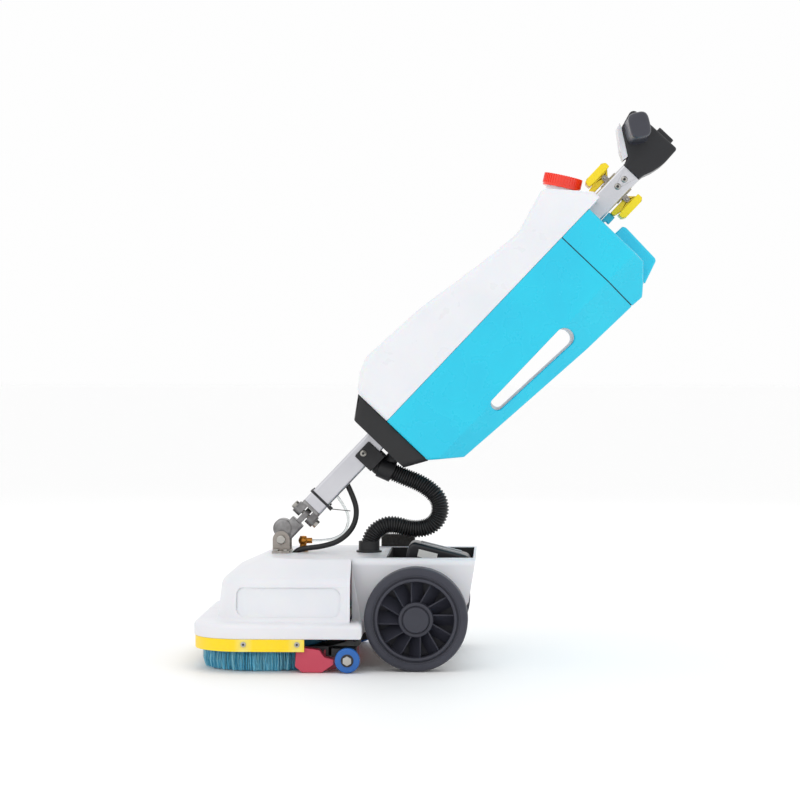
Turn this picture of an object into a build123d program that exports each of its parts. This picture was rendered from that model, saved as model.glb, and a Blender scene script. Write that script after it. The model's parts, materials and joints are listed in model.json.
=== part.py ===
from build123d import *
import math
import os

# Cordless walk-behind floor scrubber. Millimetres, +Z up. While it is being built, X = 0 is above
# the wheel axle, the front is -X and the floor is Z = 0; at the end everything is moved so that
# the origin is the bottom centre of the whole machine.

# ---- running clearances -------------------------------------------------------------------
running_gap = 0.05        # radial, shaft in bore
seat_gap = 0.3            # between pieces that only rest beside each other
slide_gap = 1.0           # beside a piece that slides out
touch = 0.04              # between faces that are bolted together

# ---- wheels -------------------------------------------------------------------------------
wheel_radius = 87.5
wheel_inner_y = 170.0
wheel_width = 45.0
tyre_depth = 15.0
rim_ring = 7.0
hub_radius = 29.5
blade_count = 12
blade_thickness = 3.2
blade_slant = 38.0
axle_radius = 8.0
bush_wall = 4.0
axle_cap_radius = 22.0
axle_cap_depth = 5.0

# ---- deck cover ---------------------------------------------------------------------------
wall = 4.0
flange_front = -380.0
flange_rear = -91.0
flange_half_width = 240.0
flange_corner = 90.0
flange_low = 56.5
flange_high = 82.0
dome_front = -342.0
dome_rear = -111.0
dome_half_width = 215.0
dome_corner = 85.0
dome_lean = 8.0           # front wall leans back this much up to the shoulder
shoulder_high = 152.0
shoulder_round = 22.0
flange_junction = 8.0
deck_top = 185.0
top_front = -264.0
top_half_width = 162.0
body_half_width = 150.0
body_rear = 100.0
body_rear_low = 88.0
body_skirt = 112.0        # height of the rear wall's lower edge
body_low = 60.0
panel_front = -304.0
panel_rear = -127.0
panel_depth = 2.0
panel_high = 140.0

# ---- battery bay and battery --------------------------------------------------------------
bay_front = -54.0
bay_half_width = 122.0
bay_floor = 118.0
pack_length = 112.0
pack_width = 76.0
pack_height = 56.0
pack_tilt = 14.0
pack_front_x = -16.0      # top front corner
pack_front_z = 207.0
dock_wall = 2.5

# ---- brushes and chassis ------------------------------------------------------------------
brush_x = -263.0
brush_y = 113.0
brush_radius = 106.0
disc_radius = 100.0
bristle_length = 37.0
disc_thickness = 12.0
chassis_low = 62.0
chassis_thickness = 5.0
motor_radius = 38.0
motor_height = 88.0
shaft_radius = 9.0

# ---- bumper and shroud --------------------------------------------------------------------
bumper_inset = 2.0
bumper_thickness = 3.0
bumper_low = 35.5
bumper_rear = -186.0
shroud_thickness = 4.0
shroud_rear = -206.0
button_radius = 4.5

# ---- squeegee -----------------------------------------------------------------------------
squeegee_arc_radius = 483.0
squeegee_mid_x = -120.0
squeegee_half_span = 205.0
frame_depth = 34.0
frame_low = 24.0
frame_high = 42.0
blade_width = 3.0
blade_spacing = 22.0
end_block_front = -202.0
end_block_rear = -161.0
end_block_inner = 205.3
end_block_outer = 231.0
end_block_high = 44.0
roller_x = -114.0
roller_radius = 21.0
roller_inner_y = 224.0
roller_width = 14.0
roller_bolt_radius = 4.0
squeegee_pivot_x = -62.0
squeegee_pivot_z = 52.0
pivot_pin_radius = 4.0
arm_y = 88.0
arm_thickness = 10.0

# ---- mast and its joints ------------------------------------------------------------------
mast_lean = 46.4          # degrees from the floor
pitch_x = -242.0
pitch_z = 208.0
bracket_width = 30.0
bracket_gap = 42.0        # between the two upright plates
bracket_plate = 5.0
bracket_foot = 4.0
pin_radius = 5.0
yoke_boss_radius = 14.0
swivel_u = 60.0
tongue_radius = 11.0
tongue_thickness = 10.0
fork_slot = 2.0
fork_reach = 22.0
swivel_pin_radius = 4.0
tube_start = 80.0
tube_end = 886.0
tube_depth = 38.0
tube_width = 60.0
tube_wall = 2.5
tube_corner = 5.0

# ---- tanks and cradle (u runs up the mast, v towards its front) ----------------------------
tank_half_width = 145.0
tank_wall = 3.5
tank_split = 8.0
tank_edge = 6.0           # outer edges of the dirty tank and its lid
slot_edge = 3.0
cradle_low = 246.0
cradle_high = 283.5
cradle_half_width = 132.0
recovery_low = 284.0
solution_low = 284.0
lid_seam = 715.0
lid_high = 783.0
slot_low = 425.0
slot_high = 612.0
lug_half_width = 10.0
lug_high = 811.0
inlet_v = -41.5           # where dirty water enters the tank
motor_v = -96.0           # vacuum motor's axis
motor_can_radius = 30.0
latch_half_width = 16.0
latch_pivot_u = 848.0
latch_pivot_v = 27.0
latch_pin_radius = 2.5

# ---- head ---------------------------------------------------------------------------------
head_half_width = 37.0
grip_end = 150.0
head_wall = 3.0
plug_start = 842.0

# ---- lines --------------------------------------------------------------------------------
hose_diameter = 31.5
cable_diameter = 9.5
water_tube_diameter = 5.0
cuff_radius = 18.5
cuff_x = -88.7
water_elbow_x = -206.0
water_elbow_y = 11.0
elbow_radius = 6.0

hose_route = [
    (-46.5, 0, 326), (-26, 0, 317), (-3, 0, 308.5), (17.8, 0, 296), (34.1, 0, 279), (37.5, 0, 255.5),
    (26.5, 0, 235), (5, 0, 226), (-19, 0, 226.5), (-40, 0, 233), (-60, 0, 233), (-79.5, 0, 220.8),
    (-88.4, 0, 201.8), (-88.7, 0, 186),
]
cable_route = [
    (-130.5, -8, 312), (-117, -8, 285), (-109, -8, 257), (-116, -8, 228), (-139, -9, 205),
    (-169, -10, 195.5), (-200, -10, 192), (-215, -10, 189), (-222, -10, 180),
]
water_route = [
    (-148.7, 6, 286.7), (-134, 6, 268), (-124, 6, 245), (-130, 8, 220), (-149, 10, 207.5),
    (-172, 11, 204), (-190, 11, 204),
]


# ---- small helpers ------------------------------------------------------------------------
def block(x0, x1, y0, y1, z0, z1):
    centre = Pos((x0 + x1) / 2, (y0 + y1) / 2, (z0 + z1) / 2)
    return centre * Box(abs(x1 - x0), abs(y1 - y0), abs(z1 - z0))


def rod(start, end, radius):
    start, end = Vector(*start), Vector(*end)
    plane = Plane(origin=start, z_dir=end - start)
    return extrude(plane * Circle(radius), amount=(end - start).length)


def tube_between(start, end, outer, inner):
    return rod(start, end, outer) - rod(start, end, inner)


def side_prism(points, half_width, radii=0.0, middle_y=0.0):
    """A closed outline in X and Z, carried half_width to each side of middle_y."""
    if isinstance(radii, (int, float)):
        radii = [radii] * len(points)
    outline = FilletPolyline(*[(x, z, 0) for x, z in points], radius=radii, close=True)
    face = Plane.XZ * make_face(outline)
    return Pos(0, middle_y, 0) * extrude(face, amount=half_width, both=True)


def upright_prism(points, low, high, radii=0.0):
    """A closed outline in X and Y, carried from low to high."""
    if isinstance(radii, (int, float)):
        radii = [radii] * len(points)
    outline = FilletPolyline(*[(x, y, 0) for x, y in points], radius=radii, close=True)
    return Pos(0, 0, low) * extrude(make_face(outline), amount=high - low)


def mirrored(shape):
    return mirror(shape, about=Plane.XZ)


def solids_of(*shapes):
    return Compound(children=[s for shape in shapes for s in shape.solids()])


def hex_head(start, direction, across, height):
    plane = Plane(origin=Vector(*start), z_dir=Vector(*direction))
    return extrude(plane * RegularPolygon(radius=across / 2, side_count=6, major_radius=False), amount=height)


def corner_radii(points):
    """Each corner's arc takes 0.45 of its shorter run."""
    radii = []
    for before, here, after in zip(points, points[1:], points[2:]):
        run_in = Vector(*here) - Vector(*before)
        run_out = Vector(*after) - Vector(*here)
        half_turn = math.radians(run_in.get_angle(run_out) / 2)
        radii.append(0.45 * min(run_in.length, run_out.length) / math.tan(half_turn))
    return radii


def line_tube(name, points, diameter):
    radii = corner_radii(points)
    path = FilletPolyline(*points, radius=radii)
    start = Plane(origin=path @ 0, z_dir=path % 0)
    tube = sweep(start * Circle(diameter / 2), path=path)
    expected = math.pi * diameter**2 / 4 * path.length
    print(name, "length", round(path.length, 1), "radii", [round(r, 1) for r in radii],
          "volume over section x length", round(tube.volume / expected, 4))
    return tube


# ---- deck cover ---------------------------------------------------------------------------
def flange_outline(inset, rear):
    x0 = flange_front + inset
    half = flange_half_width - inset
    corner = flange_corner - inset
    return [(x0, -half), (x0, half), (rear, half), (rear, -half)], [corner, corner, 0, 0]


def dome_section(front, half, corner, height):
    points = [(front, -half, 0), (front, half, 0), (dome_rear, half, 0), (dome_rear, -half, 0)]
    outline = FilletPolyline(*points, radius=[corner, corner, 0, 0], close=True)
    return Pos(0, 0, height) * make_face(outline)


def dome_form(inset, low):
    """The dome, drawn in by inset everywhere but at its rear, where the body carries on."""
    slope = dome_lean / (shoulder_high - flange_high)
    drop = (flange_high - low) * slope
    foot = dome_section(dome_front - drop + inset, dome_half_width + drop - inset,
                        dome_corner - inset, low)
    shoulder = dome_section(dome_front + dome_lean + inset, dome_half_width - dome_lean - inset,
                            dome_corner - inset, shoulder_high - inset / 2)
    crown = dome_section(top_front + inset / 2, top_half_width - inset / 2,
                         dome_corner - 2 * inset, deck_top - inset)
    return loft([foot, shoulder], ruled=True) + loft([shoulder, crown], ruled=True)


def body_form(inset, low):
    """The rear body between the wheels; it starts inside the dome."""
    top = deck_top - inset
    slope = (body_rear - body_rear_low) / (deck_top - body_skirt)
    points = [(dome_rear - 60, low), (body_rear_low - 30 - inset, low), (body_rear_low - inset, body_skirt),
              (body_rear - inset - slope * inset, top), (dome_rear - 60, top)]
    return side_prism(points, body_half_width - inset)


def deck_form():
    flange_points, flange_radii = flange_outline(0, flange_rear)
    flange = upright_prism(flange_points, flange_low, flange_high, flange_radii)
    flange = fillet(flange.edges().group_by(Axis.Z)[-1], 9)
    flange = fillet(flange.edges().group_by(Axis.Z)[0], 3)
    dome = dome_form(0, flange_high - 10)
    crown = dome.edges().group_by(Axis.Z)[-1].filter_by(lambda e: e.center().X < dome_rear - 1)
    dome = fillet(crown, 14)
    shoulder = dome.edges().filter_by(lambda e: abs(e.center().Z - shoulder_high) < 2
                                      and e.center().X < dome_rear - 1)
    dome = fillet(shoulder, shoulder_round)
    body = body_form(0, body_low)
    body = fillet(body.edges().filter_by(Axis.X).group_by(Axis.Z)[-1], 12)
    deck = flange + dome + body
    foot = deck.edges().filter_by(lambda e: abs(e.center().Z - flange_high) < 0.5
                                  and dome_front - 2 < e.center().X < dome_rear - 1
                                  and abs(e.center().Y) < dome_half_width + 2)
    return fillet(foot, flange_junction)


def bay_space(clearance):
    """The pocket that takes the dock and the pack, open at the top."""
    slope = (body_rear - body_rear_low) / (deck_top - body_skirt)
    rear_top = body_rear - wall - clearance
    rear_floor = rear_top - slope * (deck_top - bay_floor)
    over = 20.0
    points = [(bay_front + clearance, bay_floor + clearance), (rear_floor, bay_floor + clearance),
              (rear_top + slope * over, deck_top + over), (bay_front + clearance, deck_top + over)]
    return side_prism(points, bay_half_width - clearance)


def cavity_form(inset):
    return dome_form(inset, flange_low - 5) + body_form(inset, body_low - 5)


def make_deck_cover():
    cover = deck_form() - cavity_form(wall)
    pocket = side_prism([(bay_front - wall, bay_floor - wall), (body_rear_low - 4, bay_floor - wall),
                         (body_rear_low + 2, deck_top - 2), (bay_front - wall, deck_top - 2)],
                        bay_half_width + wall)
    cover = cover + (pocket & body_form(1, body_low)) - bay_space(0)
    recess = dome_form(-5, flange_high) - dome_form(panel_depth, flange_high - 5)
    for side in (-1, 1):
        low = flange_high + flange_junction + 1
        window = block(panel_front, panel_rear, side * 190, side * 240, low, panel_high)
        cover = cover - (recess & fillet(window.edges().filter_by(Axis.Y), 14))
    cover = cover - rod((0, -200, wheel_radius), (0, 200, wheel_radius), axle_radius + slide_gap)
    cover = cover - rod((cuff_x, 0, deck_top - 20), (cuff_x, 0, deck_top + 20), cuff_radius + seat_gap)
    cable_end = cable_route[-1]
    cover = cover - rod((cable_end[0] + 4, cable_end[1], deck_top - 20),
                        (cable_end[0] + 4, cable_end[1], deck_top + 20), 9.5)
    elbow_low = (water_elbow_x, water_elbow_y, deck_top - 20)
    elbow_high = (water_elbow_x, water_elbow_y, deck_top + 20)
    cover = cover - rod(elbow_low, elbow_high, elbow_radius + 0.2)
    return cover


# ---- chassis, drive and what hangs from it --------------------------------------------------
def make_chassis_plate():
    slab = block(-400, 200, -300, 300, chassis_low, chassis_low + chassis_thickness)
    plate = slab & cavity_form(wall + seat_gap)
    nozzle_x = water_elbow_x
    for side in (-1, 1):
        plate = plate - rod((brush_x, side * brush_y, 0), (brush_x, side * brush_y, 100), shaft_radius + 3)
        plate = plate - rod((nozzle_x, side * brush_y, 0), (nozzle_x, side * brush_y, 100), 5)
        plate = plate + squeegee_ears(side) + axle_ear(side)
    return plate - rod(*duct_line(), 13)


def squeegee_ears(side):
    """Two ears under the plate and the pin between them that carries one squeegee arm."""
    x, z = squeegee_pivot_x, squeegee_pivot_z
    middle = side * arm_y
    reach = arm_thickness / 2 + seat_gap + 4
    pin = rod((x, middle - reach, z), (x, middle + reach, z), pivot_pin_radius)
    for y in (middle - reach + 2, middle + reach - 2):
        profile = [(x - 12, chassis_low + 1), (x + 12, chassis_low + 1), (x + 7, z - 7), (x - 7, z - 7)]
        pin = pin + side_prism(profile, 2, [0, 0, 5, 5], y)
    return pin


def make_brush_shroud():
    inset = bumper_inset + bumper_thickness
    outer_points, outer_radii = flange_outline(inset + 0.1, shroud_rear)
    inner_points, inner_radii = flange_outline(inset + shroud_thickness, shroud_rear + 10)
    skirt = upright_prism(outer_points, bumper_low + 0.5, flange_low, outer_radii)
    skirt = skirt - upright_prism(inner_points, 0, 100, inner_radii)
    skirt = skirt & block(-400, shroud_rear, -300, 300, 0, 200)
    lip_points, lip_radii = flange_outline(28, shroud_rear + 10)
    outer = upright_prism(outer_points, flange_low - 4, flange_low, outer_radii)
    lip = outer - upright_prism(lip_points, 0, 100, lip_radii)
    lip = lip & block(-400, shroud_rear, -300, 300, 0, 200)
    rails = []
    for side in (-1, 1):
        y0, y1 = side * 185, side * (squeegee_half_span - 1)
        tie = block(shroud_rear - 14, shroud_rear, y0, side * 214, flange_low - 3.5, flange_low)
        rails.append(tie + block(shroud_rear - 1, flange_rear, y0, y1, flange_low - 3.5, flange_low))
    return skirt + lip + rails[0] + rails[1]


def make_bumper_strip():
    outer_points, outer_radii = flange_outline(bumper_inset, bumper_rear)
    inner_points, inner_radii = flange_outline(bumper_inset + bumper_thickness, bumper_rear + 10)
    strip = upright_prism(outer_points, bumper_low, flange_low, outer_radii)
    return strip - upright_prism(inner_points, 0, 100, inner_radii)


def make_deck_screws():
    outer = flange_half_width - bumper_inset
    screws = []
    for side in (-1, 1):
        for x in (-288, -198):
            screws.append(rod((x, side * outer, 48), (x, side * (outer + 2.4), 48), button_radius))
    for y in (-120, 0, 120):
        screws.append(rod((flange_front + bumper_inset, y, 48), (flange_front + bumper_inset - 2, y, 48),
                          button_radius))
    for y in (-1, 1):
        for x in (pitch_x - 8, pitch_x + 8):
            low = deck_top + bracket_foot + touch
            out_y = y * (bracket_gap / 2 + bracket_plate + 9)
            screws.append(rod((x, out_y, low), (x, out_y, low + 3), 5))
    return solids_of(*screws)


def make_brush_motor(side):
    top = chassis_low + chassis_thickness
    y = side * brush_y
    gearbox = rod((brush_x, y, top), (brush_x, y, top + 26), motor_radius + 8)
    can = rod((brush_x, y, top + 26), (brush_x, y, top + motor_height), motor_radius)
    cap = rod((brush_x, y, top + motor_height), (brush_x, y, top + motor_height + 6), 20)
    shaft = rod((brush_x, y, bristle_length + disc_thickness + 2), (brush_x, y, top), shaft_radius)
    return gearbox + can + cap + shaft


def make_axle_shaft():
    reach = wheel_inner_y + wheel_width + 2
    return rod((0, -reach, wheel_radius), (0, reach, wheel_radius), axle_radius)


def axle_ear(side):
    """Welded to the chassis plate; the shaft passes through it."""
    low = chassis_low + chassis_thickness - 0.5
    profile = [(-40, low), (40, low), (14, wheel_radius + 14), (-14, wheel_radius + 14)]
    ear = side_prism(profile, 3, [0, 0, 8, 8], side * 126)
    foot = block(-40, 40, side * 112, side * 126, low, low + 4.5)
    return ear + foot - rod((0, -200, wheel_radius), (0, 200, wheel_radius), axle_radius + running_gap)


def make_wheel_bushes():
    bushes = []
    for side in (-1, 1):
        inner, outer = axle_radius + running_gap, axle_radius + bush_wall
        wall_y = side * (body_half_width + seat_gap)
        start = side * (wheel_inner_y - 4)
        end = side * (wheel_inner_y + wheel_width - 0.5)
        bush = tube_between((0, start, wheel_radius), (0, end, wheel_radius), outer, inner)
        collar = tube_between((0, wall_y, wheel_radius), (0, start, wheel_radius), outer + 4, inner)
        bushes.append(bush + collar)
    return solids_of(*bushes)


def make_axle_caps():
    caps = []
    face = wheel_inner_y + wheel_width + seat_gap
    for side in (-1, 1):
        start, end = (0, side * face, wheel_radius), (0, side * (face + axle_cap_depth), wheel_radius)
        dish = rod(start, end, axle_cap_radius)
        dish = fillet(dish.edges().sort_by(Axis.Y)[-1 if side > 0 else 0], 3)
        caps.append(dish - rod(start, (0, side * (face + 2), wheel_radius), axle_radius + running_gap))
    return solids_of(*caps)


def make_wheel_rim(side):
    y0 = wheel_inner_y
    y1 = wheel_inner_y + wheel_width
    inner = wheel_radius - tyre_depth
    bore = axle_radius + bush_wall + running_gap
    ring_start, ring_end = (0, side * (y0 + 3), wheel_radius), (0, side * (y1 - 3), wheel_radius)
    ring = tube_between(ring_start, ring_end, inner, inner - rim_ring)
    hub = tube_between((0, side * y0, wheel_radius), (0, side * y1, wheel_radius), hub_radius, bore)
    web_y = (y0 + y1) / 2
    blade_span = inner - rim_ring - hub_radius + 4
    blade_middle = (inner - rim_ring + hub_radius) / 2
    rim = ring + hub
    for i in range(blade_count):
        blade = Rot(0, 0, side * blade_slant) * Box(blade_thickness, 30, blade_span)
        turn = Rot(0, i * 360 / blade_count, 0) * Pos(0, 0, blade_middle)
        rim = rim + Pos(0, side * web_y, wheel_radius) * turn * blade
    return rim


def make_wheel_tyre(side):
    y0 = wheel_inner_y
    y1 = wheel_inner_y + wheel_width
    bore = wheel_radius - tyre_depth + 0.02
    tyre = tube_between((0, side * y0, wheel_radius), (0, side * y1, wheel_radius), wheel_radius, bore)
    rims = tyre.edges().filter_by(GeomType.CIRCLE).filter_by(lambda e: abs(e.radius - wheel_radius) < 0.1)
    return fillet(rims, 7)


def make_brush_disc(side):
    y = side * brush_y
    disc = rod((brush_x, y, bristle_length), (brush_x, y, bristle_length + disc_thickness), disc_radius)
    rim = disc.edges().filter_by(GeomType.CIRCLE).sort_by(Axis.Z)[-1]
    disc = fillet(rim, 4)
    foot = (brush_x, y, bristle_length)
    boss = rod(foot, (brush_x, y, bristle_length + disc_thickness + 8), 24)
    bore = rod(foot, (brush_x, y, bristle_length + 40), shaft_radius + running_gap)
    return disc + boss - bore


def make_bristles(side):
    y = side * brush_y
    outer = Pos(brush_x, y, bristle_length / 2) * Cone(brush_radius, disc_radius + 1, bristle_length)
    inner = Pos(brush_x, y, bristle_length / 2) * Cone(42, 48, bristle_length)
    return outer - inner


# ---- squeegee -----------------------------------------------------------------------------
def squeegee_strip(offset, thickness, low, high):
    """An upright strip that follows the squeegee's arc, offset towards the rear."""
    centre_x = squeegee_mid_x - squeegee_arc_radius
    outer = squeegee_arc_radius + offset + thickness / 2
    ring = tube_between((centre_x, 0, low), (centre_x, 0, high), outer, outer - thickness)
    return ring & block(centre_x + 200, 200, -squeegee_half_span, squeegee_half_span, low, high)


def make_squeegee_frame():
    frame = squeegee_strip(0, frame_depth, frame_low, frame_high)
    frame = frame + rod((squeegee_mid_x, 0, frame_low), (squeegee_mid_x, 0, frame_high + 6), 12)
    frame = frame - rod((squeegee_mid_x, 0, 0), (squeegee_mid_x, 0, 100), 7.5)
    for offset in (-blade_spacing / 2, blade_spacing / 2):
        frame = frame - squeegee_strip(offset, blade_width + touch, frame_low - 1, frame_high - 6)
    for side in (-1, 1):
        frame = frame + squeegee_arm(side) + roller_arm(side)
        bolt_z = roller_radius + seat_gap
        frame = frame - rod((roller_x, side * 170, bolt_z), (roller_x, side * 260, bolt_z),
                            roller_bolt_radius + running_gap)
    return frame


def squeegee_arm(side):
    x, z = squeegee_pivot_x, squeegee_pivot_z
    foot_x = squeegee_mid_x - 14
    profile = [(foot_x, frame_high - 5), (foot_x, frame_high), (foot_x + 26, frame_high + 7), (x - 8, z + 7),
               (x + 7, z + 7), (x + 7, z - 7), (x - 8, z - 7), (foot_x + 24, frame_high - 5)]
    arm = side_prism(profile, arm_thickness / 2, [0, 2, 10, 5, 6, 6, 5, 5], side * arm_y)
    return arm - rod((x, -200, z), (x, 200, z), pivot_pin_radius + running_gap)


def roller_arm(side):
    """Reaches back from the frame's end to the roller's bolt."""
    outer = roller_inner_y - seat_gap
    front = roller_x - 27.5
    low, high = frame_low + 2, frame_high - 2
    bar = block(front, roller_x + 14, side * 183, side * (outer - 4), low, high)
    profile = [(roller_x - 21, low), (roller_x - 21, high), (roller_x + 4, high),
               (roller_x + 14, roller_radius + 8), (roller_x + 14, 14), (roller_x - 8, 10)]
    plate = side_prism(profile, 2.5, [0, 0, 8, 8, 5, 5], side * (outer - 2.5))
    return bar + plate


def make_squeegee_blades():
    front = squeegee_strip(-blade_spacing / 2, blade_width, 0, frame_high - 6.2)
    rear = squeegee_strip(blade_spacing / 2, blade_width, 0, frame_high - 6.2)
    return solids_of(front, rear)


def make_end_blocks():
    blocks = []
    for side in (-1, 1):
        middle = side * (end_block_inner + end_block_outer) / 2
        half = (end_block_outer - end_block_inner) / 2
        front, rear, foot = end_block_front, end_block_rear, 0.4
        profile = [(front, 10), (front + 2, end_block_high), (rear, end_block_high - 6), (rear + 8, 26),
                   (rear + 24, 22), (rear + 24, 14), (rear + 4, foot), (front + 12, foot)]
        part = side_prism(profile, half, [5, 4, 5, 6, 2, 2, 5, 8], middle)
        outer_face = part.edges().filter_by(lambda e: abs(abs(e.center().Y) - end_block_outer) < 0.1)
        blocks.append(fillet(outer_face, 1.5))
    return solids_of(*blocks)


def make_roller_bolts():
    bolts = []
    for side in (-1, 1):
        z = roller_radius + seat_gap
        shank = rod((roller_x, side * (roller_inner_y - 16), z),
                    (roller_x, side * (roller_inner_y + roller_width + 1), z), roller_bolt_radius)
        head = hex_head((roller_x, side * (roller_inner_y + roller_width + 1), z), (0, side, 0), 14, 4.5)
        bolts.append(shank + head)
    return solids_of(*bolts)


def make_roller(side):
    z = roller_radius + seat_gap
    start = (roller_x, side * roller_inner_y, z)
    end = (roller_x, side * (roller_inner_y + roller_width), z)
    roller = tube_between(start, end, roller_radius, roller_bolt_radius + running_gap)
    return fillet(roller.edges().filter_by(lambda e: e.geom_type == GeomType.CIRCLE and e.radius > 15), 3)


# ---- hinge and yoke -------------------------------------------------------------------------
def make_hinge_bracket():
    low = deck_top + touch / 2
    foot_reach = bracket_gap / 2 + bracket_plate + 16
    bracket = block(pitch_x - bracket_width / 2, pitch_x + bracket_width / 2, -foot_reach, foot_reach, low,
                    low + bracket_foot)
    for side in (-1, 1):
        y = side * (bracket_gap + bracket_plate) / 2
        top = pitch_z + bracket_width / 2
        plate = side_prism([(pitch_x - bracket_width / 2, low), (pitch_x + bracket_width / 2, low),
                            (pitch_x + bracket_width / 2, top), (pitch_x - bracket_width / 2, top)],
                           bracket_plate / 2, [0, 0, bracket_width / 2 - 0.2, bracket_width / 2 - 0.2], y)
        bracket = bracket + plate
    return bracket - rod((pitch_x, -60, pitch_z), (pitch_x, 60, pitch_z), pin_radius + running_gap)


def make_hinge_pin():
    reach = bracket_gap / 2 + bracket_plate
    pin = rod((pitch_x, -reach - 6, pitch_z), (pitch_x, reach + 8, pitch_z), pin_radius)
    head = rod((pitch_x, -reach - 6, pitch_z), (pitch_x, -reach - 0.1, pitch_z), 8)
    head = fillet(head.edges().sort_by(Axis.Y)[0], 2.5)
    nut = hex_head((pitch_x, reach + 0.1, pitch_z), (0, 1, 0), 16, 7)
    return pin + head + nut


mast_place = Location((pitch_x, 0, pitch_z), (0, -mast_lean, 0))


def make_yoke():
    half = bracket_gap / 2 - 0.5
    boss = rod((0, -half, 0), (0, half, 0), yoke_boss_radius)
    skull_u, skull_v = 15.0, 12.0
    skull = rod((skull_u, -half + 3, skull_v), (skull_u, half - 3, skull_v), 17)
    skull = fillet(skull.edges().filter_by(GeomType.CIRCLE), 5)
    neck = block(4, 42, -15, 15, -12, 14)
    neck = fillet(neck.edges().filter_by(Axis.X), 5)
    tongue = block(38, swivel_u, -tongue_radius, tongue_radius, -tongue_thickness / 2, tongue_thickness / 2)
    round_end = rod((swivel_u, 0, -tongue_thickness / 2), (swivel_u, 0, tongue_thickness / 2), tongue_radius)
    yoke = boss + skull + neck + tongue + round_end
    yoke = yoke - rod((0, -60, 0), (0, 60, 0), pin_radius + running_gap)
    return yoke - rod((swivel_u, 0, -60), (swivel_u, 0, 60), swivel_pin_radius + running_gap)


def make_swivel_pin():
    reach = fork_reach
    pin = rod((swivel_u, 0, -reach - 5), (swivel_u, 0, reach + 1), swivel_pin_radius)
    head = rod((swivel_u, 0, reach + 0.1), (swivel_u, 0, reach + 6), 7.5)
    head = fillet(head.edges().sort_by(Axis.Z)[-1], 2)
    nut = hex_head((swivel_u, 0, -reach - 6.1), (0, 0, 1), 13, 6)
    return pin + head + nut


def rounded_bar(u0, u1, width, depth, corner):
    bar = block(u0, u1, -width / 2, width / 2, -depth / 2, depth / 2)
    return fillet(bar.edges().filter_by(Axis.X), corner)


def tube_plug(u0, u1, inset):
    """Fills the mast tube's bore from u0 to u1, drawn in by inset."""
    less = 2 * (tube_wall + 0.2 + inset)
    return rounded_bar(u0, u1, tube_width - less, tube_depth - less, 2)


def make_mast_foot():
    inner = tongue_thickness / 2 + fork_slot
    root = swivel_u + tongue_radius + 3
    foot = rounded_bar(root, tube_start - 0.05, tube_width, tube_depth, tube_corner)
    foot = foot + tube_plug(root, tube_start + 30, 0)
    for side in (-1, 1):
        lobe = rod((swivel_u, 0, side * inner), (swivel_u, 0, side * fork_reach), tongue_radius)
        arm = block(swivel_u, root + 1, -tongue_radius, tongue_radius, side * inner, side * 19)
        foot = foot + lobe + arm
    return foot - rod((swivel_u, 0, -60), (swivel_u, 0, 60), swivel_pin_radius + running_gap)


def make_mast_tube():
    outer = rounded_bar(tube_start, tube_end, tube_width, tube_depth, tube_corner)
    inner = rounded_bar(tube_start - 1, tube_end + 1, tube_width - 2 * tube_wall, tube_depth - 2 * tube_wall,
                        tube_corner - tube_wall)
    tube = outer - inner
    low = -tube_depth / 2
    tube = tube - rod((144, -8, low - 5), (156, -8, low + 8), 8)
    tube = tube - rod((121, 6, low - 5), (121, 6, low + 8), 4)
    for u in (852, 869):
        tube = tube - rod((u, -60, 0), (u, 60, 0), 3.2)
    return tube


def make_mast_screws():
    half = tube_width / 2
    screws = []
    for side in (-1, 1):
        for u in (852, 869):
            shank = rod((u, side * (half - 12), 0), (u, side * half, 0), 3)
            head = rod((u, side * half, 0), (u, side * (half + 2), 0), 5.5)
            screws.append(shank + head)
    for side in (-1, 1):
        screws.append(rod((210, side * (half + 6.1), 0), (210, side * (half + 8.5), 0), 5.5))
    for side in (-1, 1):
        v = side * latch_pivot_v
        reach = latch_half_width + 6
        screws.append(rod((latch_pivot_u, -reach, v), (latch_pivot_u, reach, v), latch_pin_radius))
    return solids_of(*screws)


# ---- cradle, clamp and hose end -------------------------------------------------------------
def mast_hole(u0, u1, clearance):
    return block(u0, u1, -tube_width / 2 - clearance, tube_width / 2 + clearance,
                 -tube_depth / 2 - clearance, tube_depth / 2 + clearance)


def make_tank_cradle():
    def wedge(inset):
        points = [(cradle_low, 50 - inset), (cradle_high - inset, 76 - inset),
                  (cradle_high - inset, -90 + inset), (cradle_low, -68 + inset)]
        return side_prism(points, cradle_half_width - inset, 0)
    shell = wedge(0)
    upright = shell.edges().filter_by(lambda e: abs(e.tangent_at(0.5).X) > 0.6)
    shell = fillet(upright, 12)
    hollow = wedge(5) & block(cradle_low - 1, cradle_high - 5, -200, 200, -200, 200)
    collar = block(cradle_low, cradle_high - 1, -tube_width / 2 - 6, tube_width / 2 + 6,
                   -tube_depth / 2 - 6, tube_depth / 2 + 6)
    cradle = shell - hollow + collar - mast_hole(0, 1000, 0.1)
    boss = rod((cradle_low, 0, inlet_v), (cradle_high - 1, 0, inlet_v), 17)
    return cradle + boss - rod((0, 0, inlet_v), (400, 0, inlet_v), 12.1)


def make_hose_clamp():
    half = tube_width / 2
    band = block(196, 232, -half - 6, half + 6, -31, 8)
    band = fillet(band.edges().filter_by(Axis.Y).group_by(Axis.Z)[-1], 4)
    band = band + rod((212, 0, -31), (212, 0, -26), 18)
    return band - mast_hole(0, 400, 0.1)


def make_hose_connector():
    """The swivelling hose end; it points down the hose's first run and feeds the tank's inlet."""
    hose_start = Vector(*hose_route[0])
    direction = (Vector(*hose_route[1]) - hose_start).normalized()
    barrel = rod(hose_start - direction * 26, hose_start - direction * 0.05, 19)
    ball = Pos(hose_start - direction * 26) * Sphere(16)
    joined = mast_place.inverse() * (barrel + ball)
    elbow = rod((212, 0, inlet_v), (cradle_high - 0.5, 0, inlet_v), 12)
    keep = block(150, 400, -100, 100, -150, -31.05)
    return (joined + elbow) & keep


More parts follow.
